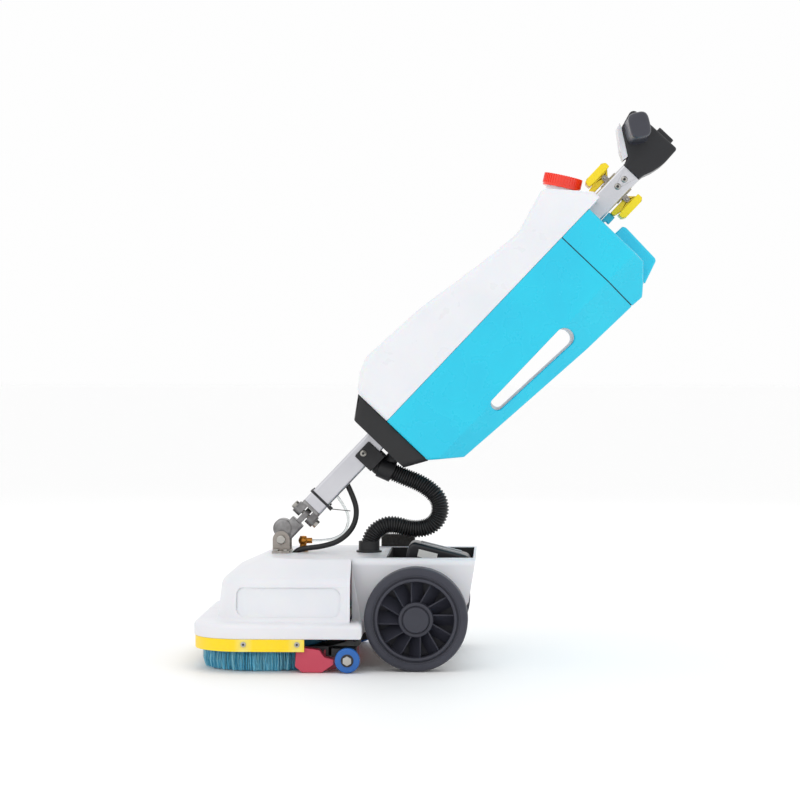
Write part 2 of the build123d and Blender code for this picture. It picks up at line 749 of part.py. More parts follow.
# ---- tanks --------------------------------------------------------------------------------
def recovery_profile(inset):
    i = inset
    low, face = recovery_low + i, tank_split - seat_gap - i
    return [(low, face), (low, -88 + i), (330 + i * 0.6, -130 + i), (426, -139 + i), (608, -155 + i),
            (lid_seam, -160 + i), (lid_seam, face)]


def outer_edges(form, u0, u1):
    """The form's edges between u0 and u1 that face outwards, away from the seam with the other tank."""
    return form.edges().filter_by(lambda e: u0 < e.center().X < u1 and e.center().Z < -20 and e.length > 8)


def rear_chamfer(u0, u1, inset):
    """What is cut from the recovery tank's two rear corners."""
    wedges = []
    for side in (-1, 1):
        half = tank_half_width - inset
        face_v, rear_v = -100.0, -175.0
        points = [(side * (half + 40), face_v), (side * half, face_v), (side * (half - 58), rear_v),
                  (side * (half + 40), rear_v)]
        face = make_face(Polyline(*[(0, y, v) for y, v in points], close=True))
        wedges.append(Pos(u0, 0, 0) * extrude(face, amount=u1 - u0, dir=(1, 0, 0)))
    return wedges[0] + wedges[1]


def recovery_form(inset):
    form = side_prism(recovery_profile(inset), tank_half_width - inset)
    form = form - rear_chamfer(200, 900, inset)
    return form


def slot_form(grow):
    g = grow
    points = [(slot_low - g, -97 + g), (slot_high + g, -97 + g), (slot_high + g, -130 - g),
              (slot_low - g, -118 - g)]
    return side_prism(points, 200, [10 + g, 15 + g, 15 + g, 10 + g])


def mast_groove(u0, u1, grow):
    """The room for the mast and its fittings between the two tanks."""
    side = tube_width / 2 + slide_gap + grow
    depth = tube_depth / 2 + slide_gap + grow
    return block(u0, u1, -side, side, -depth, depth + 40)


def make_recovery_tank():
    tank = recovery_form(0)
    tank = fillet(outer_edges(tank, 0, lid_seam - 2), tank_edge) - slot_form(0)
    rim = tank.edges().filter_by(lambda e: slot_low - 1 < e.center().X < slot_high + 1
                                 and abs(e.center().Y) > 60 and -132 < e.center().Z < -95
                                 and e.length < slot_high - slot_low)
    tank = fillet(rim, slot_edge) - mast_groove(200, 900, 0)
    room = recovery_form(tank_wall) & block(recovery_low + tank_wall, lid_seam + 5, -300, 300, -300, 300)
    room = room - slot_form(tank_wall) - mast_groove(100, 900, tank_wall)
    standpipe = rod((recovery_low, 0, inlet_v), (lid_seam - 40, 0, inlet_v), 15)
    tank = tank - room + standpipe
    half, face = lug_half_width, -tube_depth / 2 - slide_gap
    tongue = block(lid_seam - 30, lug_high, -half, half, face - 6, face)
    tongue = tongue + block(lug_high - 16, lug_high, -half, half, -34, face)
    return tank + tongue - rod((0, 0, inlet_v), (lid_seam, 0, inlet_v), 12)


def lid_profile(inset):
    i = inset
    return [(lid_seam + 1.5, tank_split - seat_gap - i), (lid_high - i, tank_split - seat_gap - i),
            (lid_high - i, -120 + i * 0.4), (756 - i, -147 + i), (739, -162 + i), (lid_seam + 1.5, -160 + i)]


def make_recovery_lid():
    lid = side_prism(lid_profile(0), tank_half_width) - rear_chamfer(600, 900, 0)
    lid = fillet(outer_edges(lid, lid_seam + 4, 900), tank_edge)
    housing = side_prism([(lid_high - 10, -52), (lid_high + 22, -54), (lid_high + 25, -60),
                          (lid_high + 21, -136), (lid_high - 22, -150), (lid_high - 30, -120)], 72,
                         [0, 4, 4, 8, 0, 0])
    sides = housing.edges().filter_by(lambda e: abs(abs(e.center().Y) - 72) < 0.1
                                      and e.center().X > lid_high - 8)
    lid = lid + fillet(sides, 5)
    hollow = side_prism(lid_profile(tank_wall), tank_half_width - tank_wall)
    hollow = hollow - rear_chamfer(600, 900, tank_wall)
    reach = motor_can_radius + 2
    hollow = hollow + block(lid_high - 20, lid_high + 17, -64, 64, motor_v - reach, motor_v + reach)
    lid = lid - (hollow - mast_groove(600, 900, tank_wall) - lid_notch(tank_wall))
    return lid - mast_groove(600, 900, 0) - lid_notch(0)


def lid_notch(grow):
    """Lets the lid rise past the tank's tongue."""
    side = lug_half_width + slide_gap + grow
    return block(lid_seam - 5, 900, -side, side, -34 - slide_gap - grow, 0)


def make_lid_gasket():
    ring = side_prism([(lid_seam + 0.05, tank_split - 1), (lid_seam + 1.45, tank_split - 1),
                       (lid_seam + 1.45, -158), (lid_seam + 0.05, -158)], tank_half_width - 1)
    ring = ring - rear_chamfer(600, 900, 1)
    room = side_prism([(lid_seam - 1, tank_split - 6), (lid_seam + 4, tank_split - 6),
                       (lid_seam + 4, -154), (lid_seam - 1, -154)], tank_half_width - 6)
    room = room - rear_chamfer(600, 900, 6) - mast_groove(600, 900, 6)
    return ring - room - mast_groove(600, 900, 1) - lid_notch(0.5)


def make_vacuum_motor():
    can = rod((lid_high - 42, 0, motor_v), (lid_high + 15, 0, motor_v), motor_can_radius)
    fan = rod((lid_high - 60, 0, motor_v), (lid_high - 42, 0, motor_v), 44)
    ceiling = lid_high - tank_wall - touch
    wing = block(ceiling - 3, ceiling, 26, 92, -110, -80)
    return can + fan + wing + mirrored(wing)


def make_float_cage():
    middle_v = motor_v
    top = lid_high - 60.1
    cage = tube_between((top - 58, 0, middle_v), (top, 0, middle_v), 26, 23.5)
    for turn in range(4):
        window = Pos(top - 30, 0, middle_v) * Rot(turn * 45, 0, 0) * Box(34, 80, 12)
        cage = cage - window
    foot = tube_between((top - 62, 0, middle_v), (top - 58, 0, middle_v), 26, 9)
    ball = Pos(top - 46, 0, middle_v) * Sphere(11.8)
    return solids_of(cage + foot, ball)


def solution_profile(inset):
    i = inset
    return [(solution_low + i, tank_split + i), (solution_low + i, 78 - i), (313 + i * 0.5, 99 - i),
            (338, 109.5 - i), (463, 100 - i), (608, 75 - i), (672, 68 - i), (735, 85 - i),
            (753 - i * 0.7, 90 - i), (810 - i, 22 - i * 0.3), (810 - i, tank_split + i)]


def cap_axis():
    """The filler neck's foot and direction."""
    turn = math.radians(31.0)
    direction = Vector(math.cos(turn), 0, math.sin(turn))
    return Vector(781.5, 0, 68.5), direction


def make_solution_tank():
    radii = [0, 14, 10, 30, 60, 60, 60, 30, 10, 12, 0]
    tank = side_prism(solution_profile(0), tank_half_width, radii)
    rim = tank.edges().filter_by(lambda e: abs(abs(e.center().Y) - tank_half_width) < 0.5
                                 and e.center().Z > tank_split + 6 and e.center().X > solution_low + 1)
    tank = fillet(rim, 9)
    foot, direction = cap_axis()
    neck_end = foot + direction * 16
    tank = tank + rod((foot - direction * 10), neck_end, 26)
    inner_radii = [0, 12, 8, 27, 60, 60, 60, 27, 8, 10, 0]
    room = side_prism(solution_profile(tank_wall), tank_half_width - tank_wall, inner_radii)
    room = room - mast_groove_front(100, 900, tank_wall)
    tank = tank - room - mast_groove_front(200, 900, 0)
    lug = block(lug_high - 20, lug_high, -lug_half_width, lug_half_width, tube_depth / 2 + slide_gap, 34)
    tank = tank + lug
    return tank - rod((foot - direction * 14), (neck_end + direction), 22.5)


def mast_groove_front(u0, u1, grow):
    side = tube_width / 2 + slide_gap + grow
    depth = tube_depth / 2 + slide_gap + grow
    return block(u0, u1, -side, side, -depth - 40, depth)


def make_solution_cap():
    foot, direction = cap_axis()
    start = foot + direction * 3
    top = start + direction * 21
    cap = rod(start, top, 33)
    cap = fillet(cap.edges().filter_by(GeomType.CIRCLE).sort_by(lambda e: e.center().X)[-1], 3)
    room = rod((start - direction), (foot + direction * 16.3), 26 + running_gap)
    return cap - room


# ---- latches ------------------------------------------------------------------------------
def make_latch_brackets():
    brackets = []
    for side in (-1, 1):
        face, pivot = side * tube_depth / 2 + side * 0.02, side * latch_pivot_v
        bracket = block(834, 866, -latch_half_width - 5, latch_half_width + 5, face, face + side * 2)
        for y in (-1, 1):
            y0, y1 = y * (latch_half_width + 1), y * (latch_half_width + 4)
            ear = block(latch_pivot_u - 5, latch_pivot_u + 5, y0, y1, face, pivot)
            bracket = bracket + ear + rod((latch_pivot_u, y0, pivot), (latch_pivot_u, y1, pivot), 5)
        brackets.append(bracket - latch_pin_hole(side))
    return solids_of(*brackets)


def latch_pin_hole(side):
    v = side * latch_pivot_v
    return rod((latch_pivot_u, -60, v), (latch_pivot_u, 60, v), latch_pin_radius + running_gap)


def make_latch(side):
    """A wide thumb paddle on a web whose nose stands just above the tank's lug."""
    nose_tip = lug_high + 0.6
    web_points = [(nose_tip, 22.5), (nose_tip, 31), (834, 36), (862, 36), (862, 33.5), (853, 24), (848, 21.8),
                  (838, 22.5)]
    web = side_prism([(u, side * v) for u, v in web_points], latch_half_width, [2, 3, 0, 0, 0, 2, 4, 0])
    paddle_points = [(818, 34.5), (818, 44), (824, 48), (862, 48), (868, 44), (868, 34.5)]
    paddle = side_prism([(u, side * v) for u, v in paddle_points], latch_half_width + 10, [2, 4, 3, 3, 4, 2])
    return web + paddle - latch_pin_hole(side)


# ---- handle head ----------------------------------------------------------------------------
def head_profile(inset):
    i = inset
    return [(887 + i, 18 - i), (901 + i, 22 - i), (931 + i, 66 - i), (968 - i, 76 - i), (970 - i, -30 + i),
            (943, -31 + i), (929, -30 + i), (912, -26 + i), (897, -20 + i), (887 + i, -18 + i)]


def head_solid():
    head = side_prism(head_profile(0), head_half_width, [0, 8, 14, 9, 5, 20, 20, 20, 10, 0])
    rim = head.edges().filter_by(lambda e: abs(abs(e.center().Y) - head_half_width) < 0.5
                                 and e.center().X > 900)
    return fillet(rim, 4)


def grip_centre():
    return 944.0, 44.0


def grip_rod(y0, y1, grow=0.0):
    u, v = grip_centre()
    face = Plane(origin=(u, y0, v), x_dir=(0.55, 0, 0.835), z_dir=(0, 1, 0)) * Ellipse(25 + grow, 17.5 + grow)
    return extrude(face, amount=abs(y1 - y0), dir=(0, 1 if y1 > y0 else -1, 0))


def button_place(name):
    return {"power": (958.0, -15.0, 18.0, 24.0), "speed": (966.0, 42.0, 56.0, 8.0)}[name]


def button_room(name, grow):
    u0, v0, v1, half = button_place(name)
    return block(u0 - 6, 990, -half - grow, half + grow, v0 - grow, v1 + grow)


def make_head_shell(side):
    head = head_solid()
    room = side_prism(head_profile(head_wall), head_half_width - head_wall)
    neck = tube_plug(plug_start, 900, 0) - tube_plug(plug_start - 1, 910, 3.3)
    collar = rounded_bar(886.05, 900, tube_width, tube_depth, tube_corner)
    collar = collar - rounded_bar(880, 910, tube_width - 14, tube_depth - 14, 2)
    head = head - room + neck + collar
    for u in (852, 869):
        head = head - rod((u, -60, 0), (u, 60, 0), 3.1)
    stub = grip_rod(0, side * (grip_end - 6), -4)
    core = grip_rod(0, side * (grip_end - 10), -8)
    head = head + stub - core
    head = head - button_room("power", 0.3) - button_room("speed", 0.3)
    half = block(800, 1000, 0.02 * side, side * 200, -100, 120)
    return head & half


def make_head_cover():
    points = [(892, 24.5), (901.5, 22.9), (931, 66.8), (934, 74), (925, 71), (900, 40)]
    cover = side_prism(points, head_half_width - 3, [0, 0, 0, 0, 3, 3])
    return cover - head_solid_grown()


def head_solid_grown():
    points = [(880, 18.3), (901, 22.3), (931, 66.3), (968, 76.3), (968, -40), (880, -40)]
    return side_prism(points, head_half_width + 1, [0, 8, 14, 0, 0, 0])


def make_handle_grips():
    grips = []
    for side in (-1, 1):
        sleeve = grip_rod(side * (head_half_width + 0.3), side * grip_end, 0)
        sleeve = fillet(sleeve.edges().sort_by(Axis.Y)[-1 if side > 0 else 0], 5)
        sleeve = sleeve - grip_rod(side * (head_half_width - 1), side * (grip_end - 5.9), -3.9)
        grips.append(sleeve)
    return solids_of(*grips)


def make_button(name, corner):
    u0, v0, v1, half = button_place(name)
    high = 977.5 if name == "power" else 974.0
    cap = block(u0, high, -half, half, v0, v1)
    cap = fillet(cap.edges().filter_by(Axis.X), corner)
    return fillet(cap.edges().group_by(Axis.X)[-1], 1.5)


# ---- inner deck parts -----------------------------------------------------------------------
def make_battery_dock():
    tray = bay_space(seat_gap) & block(-200, 200, -200, 200, 0, deck_top - 1)
    room = bay_space(seat_gap + dock_wall) & block(-200, body_rear, -200, 200, 0, 400)
    room = room + block(60, 120, -bay_half_width + 3, bay_half_width - 3, bay_floor + 3, 400)
    tray = tray - room
    under = pack_place() * block(0, pack_length, -40, 40, -60, -seat_gap)
    saddle = block(6, 74, -30, 30, bay_floor + 1, 200) & under
    rail = block(10, 96, 24, 28, -8, -seat_gap)
    rails = pack_place() * (rail + mirrored(rail))
    return tray + saddle + (rails & block(-200, 90, -200, 200, bay_floor + 1, 400))


def pack_place():
    """The pack's own frame: its underside front edge, along its length."""
    turn = math.radians(pack_tilt)
    x = pack_front_x - pack_height * math.sin(turn)
    z = pack_front_z - pack_height * math.cos(turn)
    return Location((x, 0, z), (0, pack_tilt, 0))


def make_battery_case():
    case = block(0, pack_length, -pack_width / 2, pack_width / 2, 0, pack_height)
    case = fillet(case.edges().filter_by(Axis.Y).group_by(Axis.Z)[-1], 13)
    case = fillet(case.edges().filter_by(Axis.Z), 6)
    groove = block(-1, pack_length + 1, -pack_width / 2 - 1, -pack_width / 2 + 3, 18, 24)
    return case - groove - mirrored(groove)


def make_control_board():
    low = chassis_low + chassis_thickness
    board = block(-100, -68, -110, -40, low + 8, low + 10)
    for x in (-97, -71):
        for y in (-106, -44):
            board = board + rod((x, y, low), (x, y, low + 9), 2.5)
    return board + block(-94, -76, -98, -70, low + 10, low + 24)


def make_foam_pad():
    inner = bay_half_width + wall + 1
    pad = block(-73, -12, inner, inner + 19, deck_top + seat_gap, deck_top + 22)
    return fillet(pad.edges().filter_by(Axis.Z), 3)


def make_hose_cuff():
    bore = hose_diameter / 2 + 0.1
    sleeve = tube_between((cuff_x, 0, deck_top - 6), (cuff_x, 0, deck_top + 19.5), cuff_radius, bore)
    lip_start, lip_end = (cuff_x, 0, deck_top + touch / 2), (cuff_x, 0, deck_top + 3)
    lip = tube_between(lip_start, lip_end, cuff_radius + 4, cuff_radius - 1)
    return sleeve + lip


def duct_line():
    """The duct's lower run, from under the cuff to the squeegee's mouth."""
    return (cuff_x, 0, 120), (squeegee_mid_x + 3, 0, 50)


def make_suction_duct():
    upper = rod((cuff_x, 0, deck_top - 6.3), (cuff_x, 0, 116), 15)
    pipe = upper + rod(*duct_line(), 12)
    bore = rod((cuff_x, 0, deck_top), (cuff_x, 0, 118), 12.5) + rod(*duct_line(), 9.5)
    return (pipe - bore) & block(-200, 0, -50, 50, frame_high + 13, deck_top)


def make_water_fitting():
    x, y = water_elbow_x, water_elbow_y
    body = rod((x, y, deck_top - 12), (x, y, deck_top + 27), elbow_radius)
    nut = hex_head((x, y, deck_top + 0.1), (0, 0, 1), 15, 7)
    level = water_route[-1][2]
    barrel = rod((x, y, level), (water_route[-1][0], y, level), 5)
    shoulder = Pos(x, y, level) * Sphere(8.5)
    return body + nut + barrel + shoulder


def make_spray_manifold():
    """Falls from the elbow, then crosses behind both motors to a nozzle over each brush."""
    x, y = water_elbow_x, water_elbow_y
    plate_top = chassis_low + chassis_thickness
    level = plate_top + 12
    manifold = rod((x, y, level), (x, y, deck_top - 12), 5)
    manifold = manifold + rod((x, -brush_y, level), (x, brush_y, level), 5)
    for nozzle_y in (-brush_y, brush_y):
        manifold = manifold + rod((x, nozzle_y, chassis_low - 6), (x, nozzle_y, level + 4), 4)
        manifold = manifold + rod((x, nozzle_y, plate_top + running_gap), (x, nozzle_y, plate_top + 4), 8)
    return manifold


# ---- everything, in place ---------------------------------------------------------------------
def on_mast(shape):
    return shape.moved(mast_place)


def build_nodes():
    nodes = {
        "deck_cover": make_deck_cover(),
        "chassis_plate": make_chassis_plate(),
        "brush_shroud": make_brush_shroud(),
        "bumper_strip": make_bumper_strip(),
        "deck_screws": make_deck_screws(),
        "axle_shaft": make_axle_shaft(),
        "wheel_bushes": make_wheel_bushes(),
        "axle_caps": make_axle_caps(),
        "hinge_bracket": make_hinge_bracket(),
        "hinge_pin": make_hinge_pin(),
        "battery_dock": make_battery_dock(),
        "brush_motors": solids_of(make_brush_motor(-1), make_brush_motor(1)),
        "control_board": make_control_board(),
        "foam_pad": make_foam_pad(),
        "hose_cuff": make_hose_cuff(),
        "suction_duct": make_suction_duct(),
        "water_fitting": make_water_fitting(),
        "spray_manifold": make_spray_manifold(),
        "battery_case": pack_place() * make_battery_case(),
        "squeegee_frame": make_squeegee_frame(),
        "squeegee_blades": make_squeegee_blades(),
        "squeegee_end_blocks": make_end_blocks(),
        "roller_bolts": make_roller_bolts(),
        "yoke": on_mast(make_yoke()),
        "swivel_pin": on_mast(make_swivel_pin()),
        "mast_foot": on_mast(make_mast_foot()),
        "mast_tube": on_mast(make_mast_tube()),
        "mast_screws": on_mast(make_mast_screws()),
        "tank_cradle": on_mast(make_tank_cradle()),
        "hose_clamp": on_mast(make_hose_clamp()),
        "hose_connector": on_mast(make_hose_connector()),
        "latch_brackets": on_mast(make_latch_brackets()),
        "latch_front": on_mast(make_latch(1)),
        "latch_rear": on_mast(make_latch(-1)),
        "recovery_tank": on_mast(make_recovery_tank()),
        "recovery_lid": on_mast(make_recovery_lid()),
        "lid_gasket": on_mast(make_lid_gasket()),
        "vacuum_motor": on_mast(make_vacuum_motor()),
        "float_cage": on_mast(make_float_cage()),
        "solution_tank": on_mast(make_solution_tank()),
        "solution_cap": on_mast(make_solution_cap()),
        "head_cover": on_mast(make_head_cover()),
        "handle_grips": on_mast(make_handle_grips()),
        "power_button": on_mast(make_button("power", 4)),
        "speed_button": on_mast(make_button("speed", 2)),
        "suction_hose": line_tube("suction_hose", hose_route, hose_diameter),
        "power_cable": line_tube("power_cable", cable_route, cable_diameter),
        "water_tube": line_tube("water_tube", water_route, water_tube_diameter),
    }
    for name, side in (("left", -1), ("right", 1)):
        nodes[f"wheel_rim_{name}"] = make_wheel_rim(side)
        nodes[f"wheel_tyre_{name}"] = make_wheel_tyre(side)
        nodes[f"brush_disc_{name}"] = make_brush_disc(side)
        nodes[f"bristles_{name}"] = make_bristles(side)
        nodes[f"roller_{name}"] = make_roller(side)
        nodes[f"head_shell_{name}"] = on_mast(make_head_shell(side))
    return nodes


def whole_box(nodes):
    boxes = [shape.bounding_box() for shape in nodes.values()]
    low = [min(getattr(b.min, axis) for b in boxes) for axis in "XYZ"]
    high = [max(getattr(b.max, axis) for b in boxes) for axis in "XYZ"]
    return low, high


nodes = build_nodes()
low, high = whole_box(nodes)
shift = Vector(-(low[0] + high[0]) / 2, -(low[1] + high[1]) / 2, -low[2])
print("box", [round(h - l, 1) for l, h in zip(low, high)], "shift", shift)

os.makedirs("parts", exist_ok=True)
for name, shape in nodes.items():
    export_step(Pos(shift) * shape, f"parts/{name}.step")
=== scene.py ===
import bpy
import bmesh
import json
import math
from mathutils import Matrix, Vector


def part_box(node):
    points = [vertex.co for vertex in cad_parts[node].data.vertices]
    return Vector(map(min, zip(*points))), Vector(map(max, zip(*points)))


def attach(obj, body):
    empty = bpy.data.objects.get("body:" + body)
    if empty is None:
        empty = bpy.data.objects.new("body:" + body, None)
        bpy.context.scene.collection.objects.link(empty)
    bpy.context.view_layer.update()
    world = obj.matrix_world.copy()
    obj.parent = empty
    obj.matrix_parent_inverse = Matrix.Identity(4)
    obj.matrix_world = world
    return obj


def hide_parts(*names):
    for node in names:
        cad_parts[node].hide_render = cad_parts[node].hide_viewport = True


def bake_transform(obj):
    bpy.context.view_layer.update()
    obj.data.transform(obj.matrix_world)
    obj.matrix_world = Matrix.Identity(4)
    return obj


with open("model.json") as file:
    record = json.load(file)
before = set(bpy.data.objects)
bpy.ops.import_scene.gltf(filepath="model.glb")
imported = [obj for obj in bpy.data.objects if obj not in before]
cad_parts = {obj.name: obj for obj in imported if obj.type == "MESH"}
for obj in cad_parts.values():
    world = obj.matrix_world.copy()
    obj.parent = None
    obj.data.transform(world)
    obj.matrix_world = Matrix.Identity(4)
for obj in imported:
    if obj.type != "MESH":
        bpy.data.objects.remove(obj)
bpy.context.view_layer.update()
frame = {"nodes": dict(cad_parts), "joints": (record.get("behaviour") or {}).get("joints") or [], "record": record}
nodes = frame["nodes"]
print("frame loaded:", len(nodes), "nodes")

joints = {joint["name"]: joint for joint in frame["joints"]}
pitchPoint = Vector(joints["mast_pitch"]["pos_m"])
axleX = joints["wheel_left_spin"]["pos_m"][0]
mastFront = Vector(joints["mast_swivel"]["axis"])          # from the mast's middle towards the clean tank
mastUp = Vector((0, 1, 0)).cross(mastFront).normalized()   # along the mast, towards the handle
acrossMast = Vector((0, 1, 0))
mastFrame = Matrix((
    (mastUp.x, acrossMast.x, mastFront.x, pitchPoint.x),
    (mastUp.y, acrossMast.y, mastFront.y, pitchPoint.y),
    (mastUp.z, acrossMast.z, mastFront.z, pitchPoint.z),
    (0, 0, 0, 1),
))


def onMast(u, y, v):
    # u up the mast, y across, v towards the clean tank, in metres
    return mastFrame @ Vector((u, y, v))


cameraLook = {
    "place": (0.0997, -4.5, 0.5408),
    "yaw": 2.13,            # degrees to the left
    "pitch": -1.12,         # degrees below level
    "lens": 115.2,
}


def placeCamera():
    data = bpy.data.cameras.new("sideCamera")
    data.lens = cameraLook["lens"]
    data.sensor_width = 36
    data.clip_end = 90
    camera = bpy.data.objects.new("sideCamera", data)
    bpy.context.scene.collection.objects.link(camera)
    camera.location = cameraLook["place"]
    camera.rotation_euler = (math.radians(90 + cameraLook["pitch"]), 0, math.radians(cameraLook["yaw"]))
    bpy.context.scene.camera = camera


studio = {
    "worldStrength": 0.99,
    "lamps": [
        # name, place, size, watts
        ("keyLamp", (-1.6, -3.0, 3.0), 2.4, 16),
        ("fillLamp", (2.6, -2.4, 1.6), 2.6, 7),
        ("rearLamp", (0.4, 3.2, 2.6), 2.6, 14),
    ],
}


def lightStudio():
    world = bpy.data.worlds.new("paleStudio")
    world.use_nodes = True
    background = world.node_tree.nodes["Background"]
    background.inputs["Color"].default_value = (1, 1, 1, 1)
    background.inputs["Strength"].default_value = studio["worldStrength"]
    bpy.context.scene.world = world
    for name, place, size, watts in studio["lamps"]:
        data = bpy.data.lights.new(name, "AREA")
        data.energy = watts
        data.size = size
        lamp = bpy.data.objects.new(name, data)
        bpy.context.scene.collection.objects.link(lamp)
        lamp.location = place
        lamp.rotation_euler = (Vector((0, 0, 0.4)) - Vector(place)).to_track_quat("-Z", "Y").to_euler()
    bpy.context.scene.view_settings.view_transform = "Standard"


placeCamera()
lightStudio()
print("camera and lamps placed")


def linear(hexColor):
    # "#rrggbb" as shown on a screen, to the shader's linear colour
    parts = [int(hexColor[i:i + 2], 16) / 255 for i in (1, 3, 5)]
    return tuple(c / 12.92 if c <= 0.04045 else ((c + 0.055) / 1.055) ** 2.4 for c in parts) + (1,)


def addNoise(tree, source, scale, detail, stretch=None):
    noise = tree.nodes.new("ShaderNodeTexNoise")
    noise.inputs["Scale"].default_value = scale
    noise.inputs["Detail"].default_value = detail
    link = tree.links.new
    if stretch:
        mapping = tree.nodes.new("ShaderNodeMapping")
        mapping.inputs["Rotation"].default_value = stretch[0]
        mapping.inputs["Scale"].default_value = stretch[1]
        link(source, mapping.inputs["Vector"])
        source = mapping.outputs["Vector"]
    link(source, noise.inputs["Vector"])
    return noise


def addRange(tree, source, low, high, fromLow=0.3, fromHigh=0.7):
    spread = tree.nodes.new("ShaderNodeMapRange")
    spread.inputs["From Min"].default_value = fromLow
    spread.inputs["From Max"].default_value = fromHigh
    spread.inputs["To Min"].default_value = low
    spread.inputs["To Max"].default_value = high
    tree.links.new(source, spread.inputs["Value"])
    return spread.outputs["Result"]


def makeFinish(name, look):
    material = bpy.data.materials.new(name)
    material.use_nodes = True
    tree = material.node_tree
    link = tree.links.new
    shader = tree.nodes["Principled BSDF"]
    shader.inputs["Metallic"].default_value = look.get("metallic", 0)
    shader.inputs["IOR"].default_value = look.get("ior", 1.5)
    shader.inputs["Coat Weight"].default_value = look.get("coat", 0)
    shader.inputs["Coat Roughness"].default_value = look.get("coatRoughness", 0.15)
    shader.inputs["Sheen Weight"].default_value = look.get("sheen", 0)
    shader.inputs["Transmission Weight"].default_value = look.get("clear", 0)
    shader.inputs["Subsurface Weight"].default_value = look.get("glow", 0)
    shader.inputs["Subsurface Scale"].default_value = 0.006
    place = tree.nodes.new("ShaderNodeTexCoord").outputs["Object"]
    stretch = look.get("stretch")

    # colour drifts slowly between two close shades, and is rubbed paler on worn edges
    mottle = addNoise(tree, place, look.get("mottleScale", 9), 4)
    mix = tree.nodes.new("ShaderNodeMix")
    mix.data_type = "RGBA"
    mix.inputs["A"].default_value = linear(look["color"])
    mix.inputs["B"].default_value = linear(look.get("shade", look["color"]))
    link(addRange(tree, mottle.outputs["Fac"], 0, 1, 0.35, 0.65), mix.inputs["Factor"])
    color = mix.outputs["Result"]
    if "wear" in look:
        edge = tree.nodes.new("ShaderNodeNewGeometry").outputs["Pointiness"]
        scuffs = addNoise(tree, place, look.get("wearScale", 140), 5)
        rubbed = tree.nodes.new("ShaderNodeMath")
        rubbed.operation = "MULTIPLY"
        link(addRange(tree, edge, 0, 1, 0.53, 0.60), rubbed.inputs[0])
        amount = look.get("wearAmount", 0.7)
        link(addRange(tree, scuffs.outputs["Fac"], 0, amount, 0.4, 0.62), rubbed.inputs[1])
        worn = tree.nodes.new("ShaderNodeMix")
        worn.data_type = "RGBA"
        worn.inputs["B"].default_value = linear(look["wear"])
        link(rubbed.outputs["Value"], worn.inputs["Factor"])
        link(color, worn.inputs["A"])
        color = worn.outputs["Result"]
    if "strand" in look:
        # each strand has its own shade
        own = tree.nodes.new("ShaderNodeAttribute")
        own.attribute_name = "strand"
        strand = tree.nodes.new("ShaderNodeMix")
        strand.data_type = "RGBA"
        strand.inputs["B"].default_value = linear(look["strand"])
        link(addRange(tree, own.outputs["Fac"], 0, 1, 0, 1), strand.inputs["Factor"])
        link(color, strand.inputs["A"])
        color = strand.outputs["Result"]
    if "patches" in look:
        # paler patches where the strip is pressed by its screws
        across = tree.nodes.new("ShaderNodeSeparateXYZ")
        link(place, across.inputs["Vector"])
        for x in look["patches"]:
            away = tree.nodes.new("ShaderNodeMath")
            away.operation = "SUBTRACT"
            link(across.outputs["X"], away.inputs[0])
            away.inputs[1].default_value = x
            size = tree.nodes.new("ShaderNodeMath")
            size.operation = "ABSOLUTE"
            link(away.outputs["Value"], size.inputs[0])
            patch = tree.nodes.new("ShaderNodeMix")
            patch.data_type = "RGBA"
            patch.inputs["B"].default_value = linear(look["patchColor"])
            link(addRange(tree, size.outputs["Value"], 0.8, 0, 0.003, 0.016), patch.inputs["Factor"])
            link(color, patch.inputs["A"])
            color = patch.outputs["Result"]
    link(color, shader.inputs["Base Color"])

    # gloss varies with faint smears
    smear = addNoise(tree, place, look.get("smearScale", 30), 6, stretch)
    rough = look.get("rough", (0.3, 0.4))
    link(addRange(tree, smear.outputs["Fac"], rough[0], rough[1]), shader.inputs["Roughness"])

    # two sizes of bump: the moulded skin and the slow ripple under it
    grain = addNoise(tree, place, look.get("grainScale", 900), 2, stretch)
    ripple = addNoise(tree, place, look.get("rippleScale", 45), 2)
    fine = tree.nodes.new("ShaderNodeBump")
    fine.inputs["Distance"].default_value = look.get("grainDepth", 0.00006)
    fine.inputs["Strength"].default_value = look.get("grainStrength", 0.5)
    link(grain.outputs["Fac"], fine.inputs["Height"])
    slow = tree.nodes.new("ShaderNodeBump")
    slow.inputs["Distance"].default_value = look.get("rippleDepth", 0.0003)
    slow.inputs["Strength"].default_value = look.get("rippleStrength", 0.25)
    link(ripple.outputs["Fac"], slow.inputs["Height"])
    link(fine.outputs["Normal"], slow.inputs["Normal"])
    link(slow.outputs["Normal"], shader.inputs["Normal"])
    return material


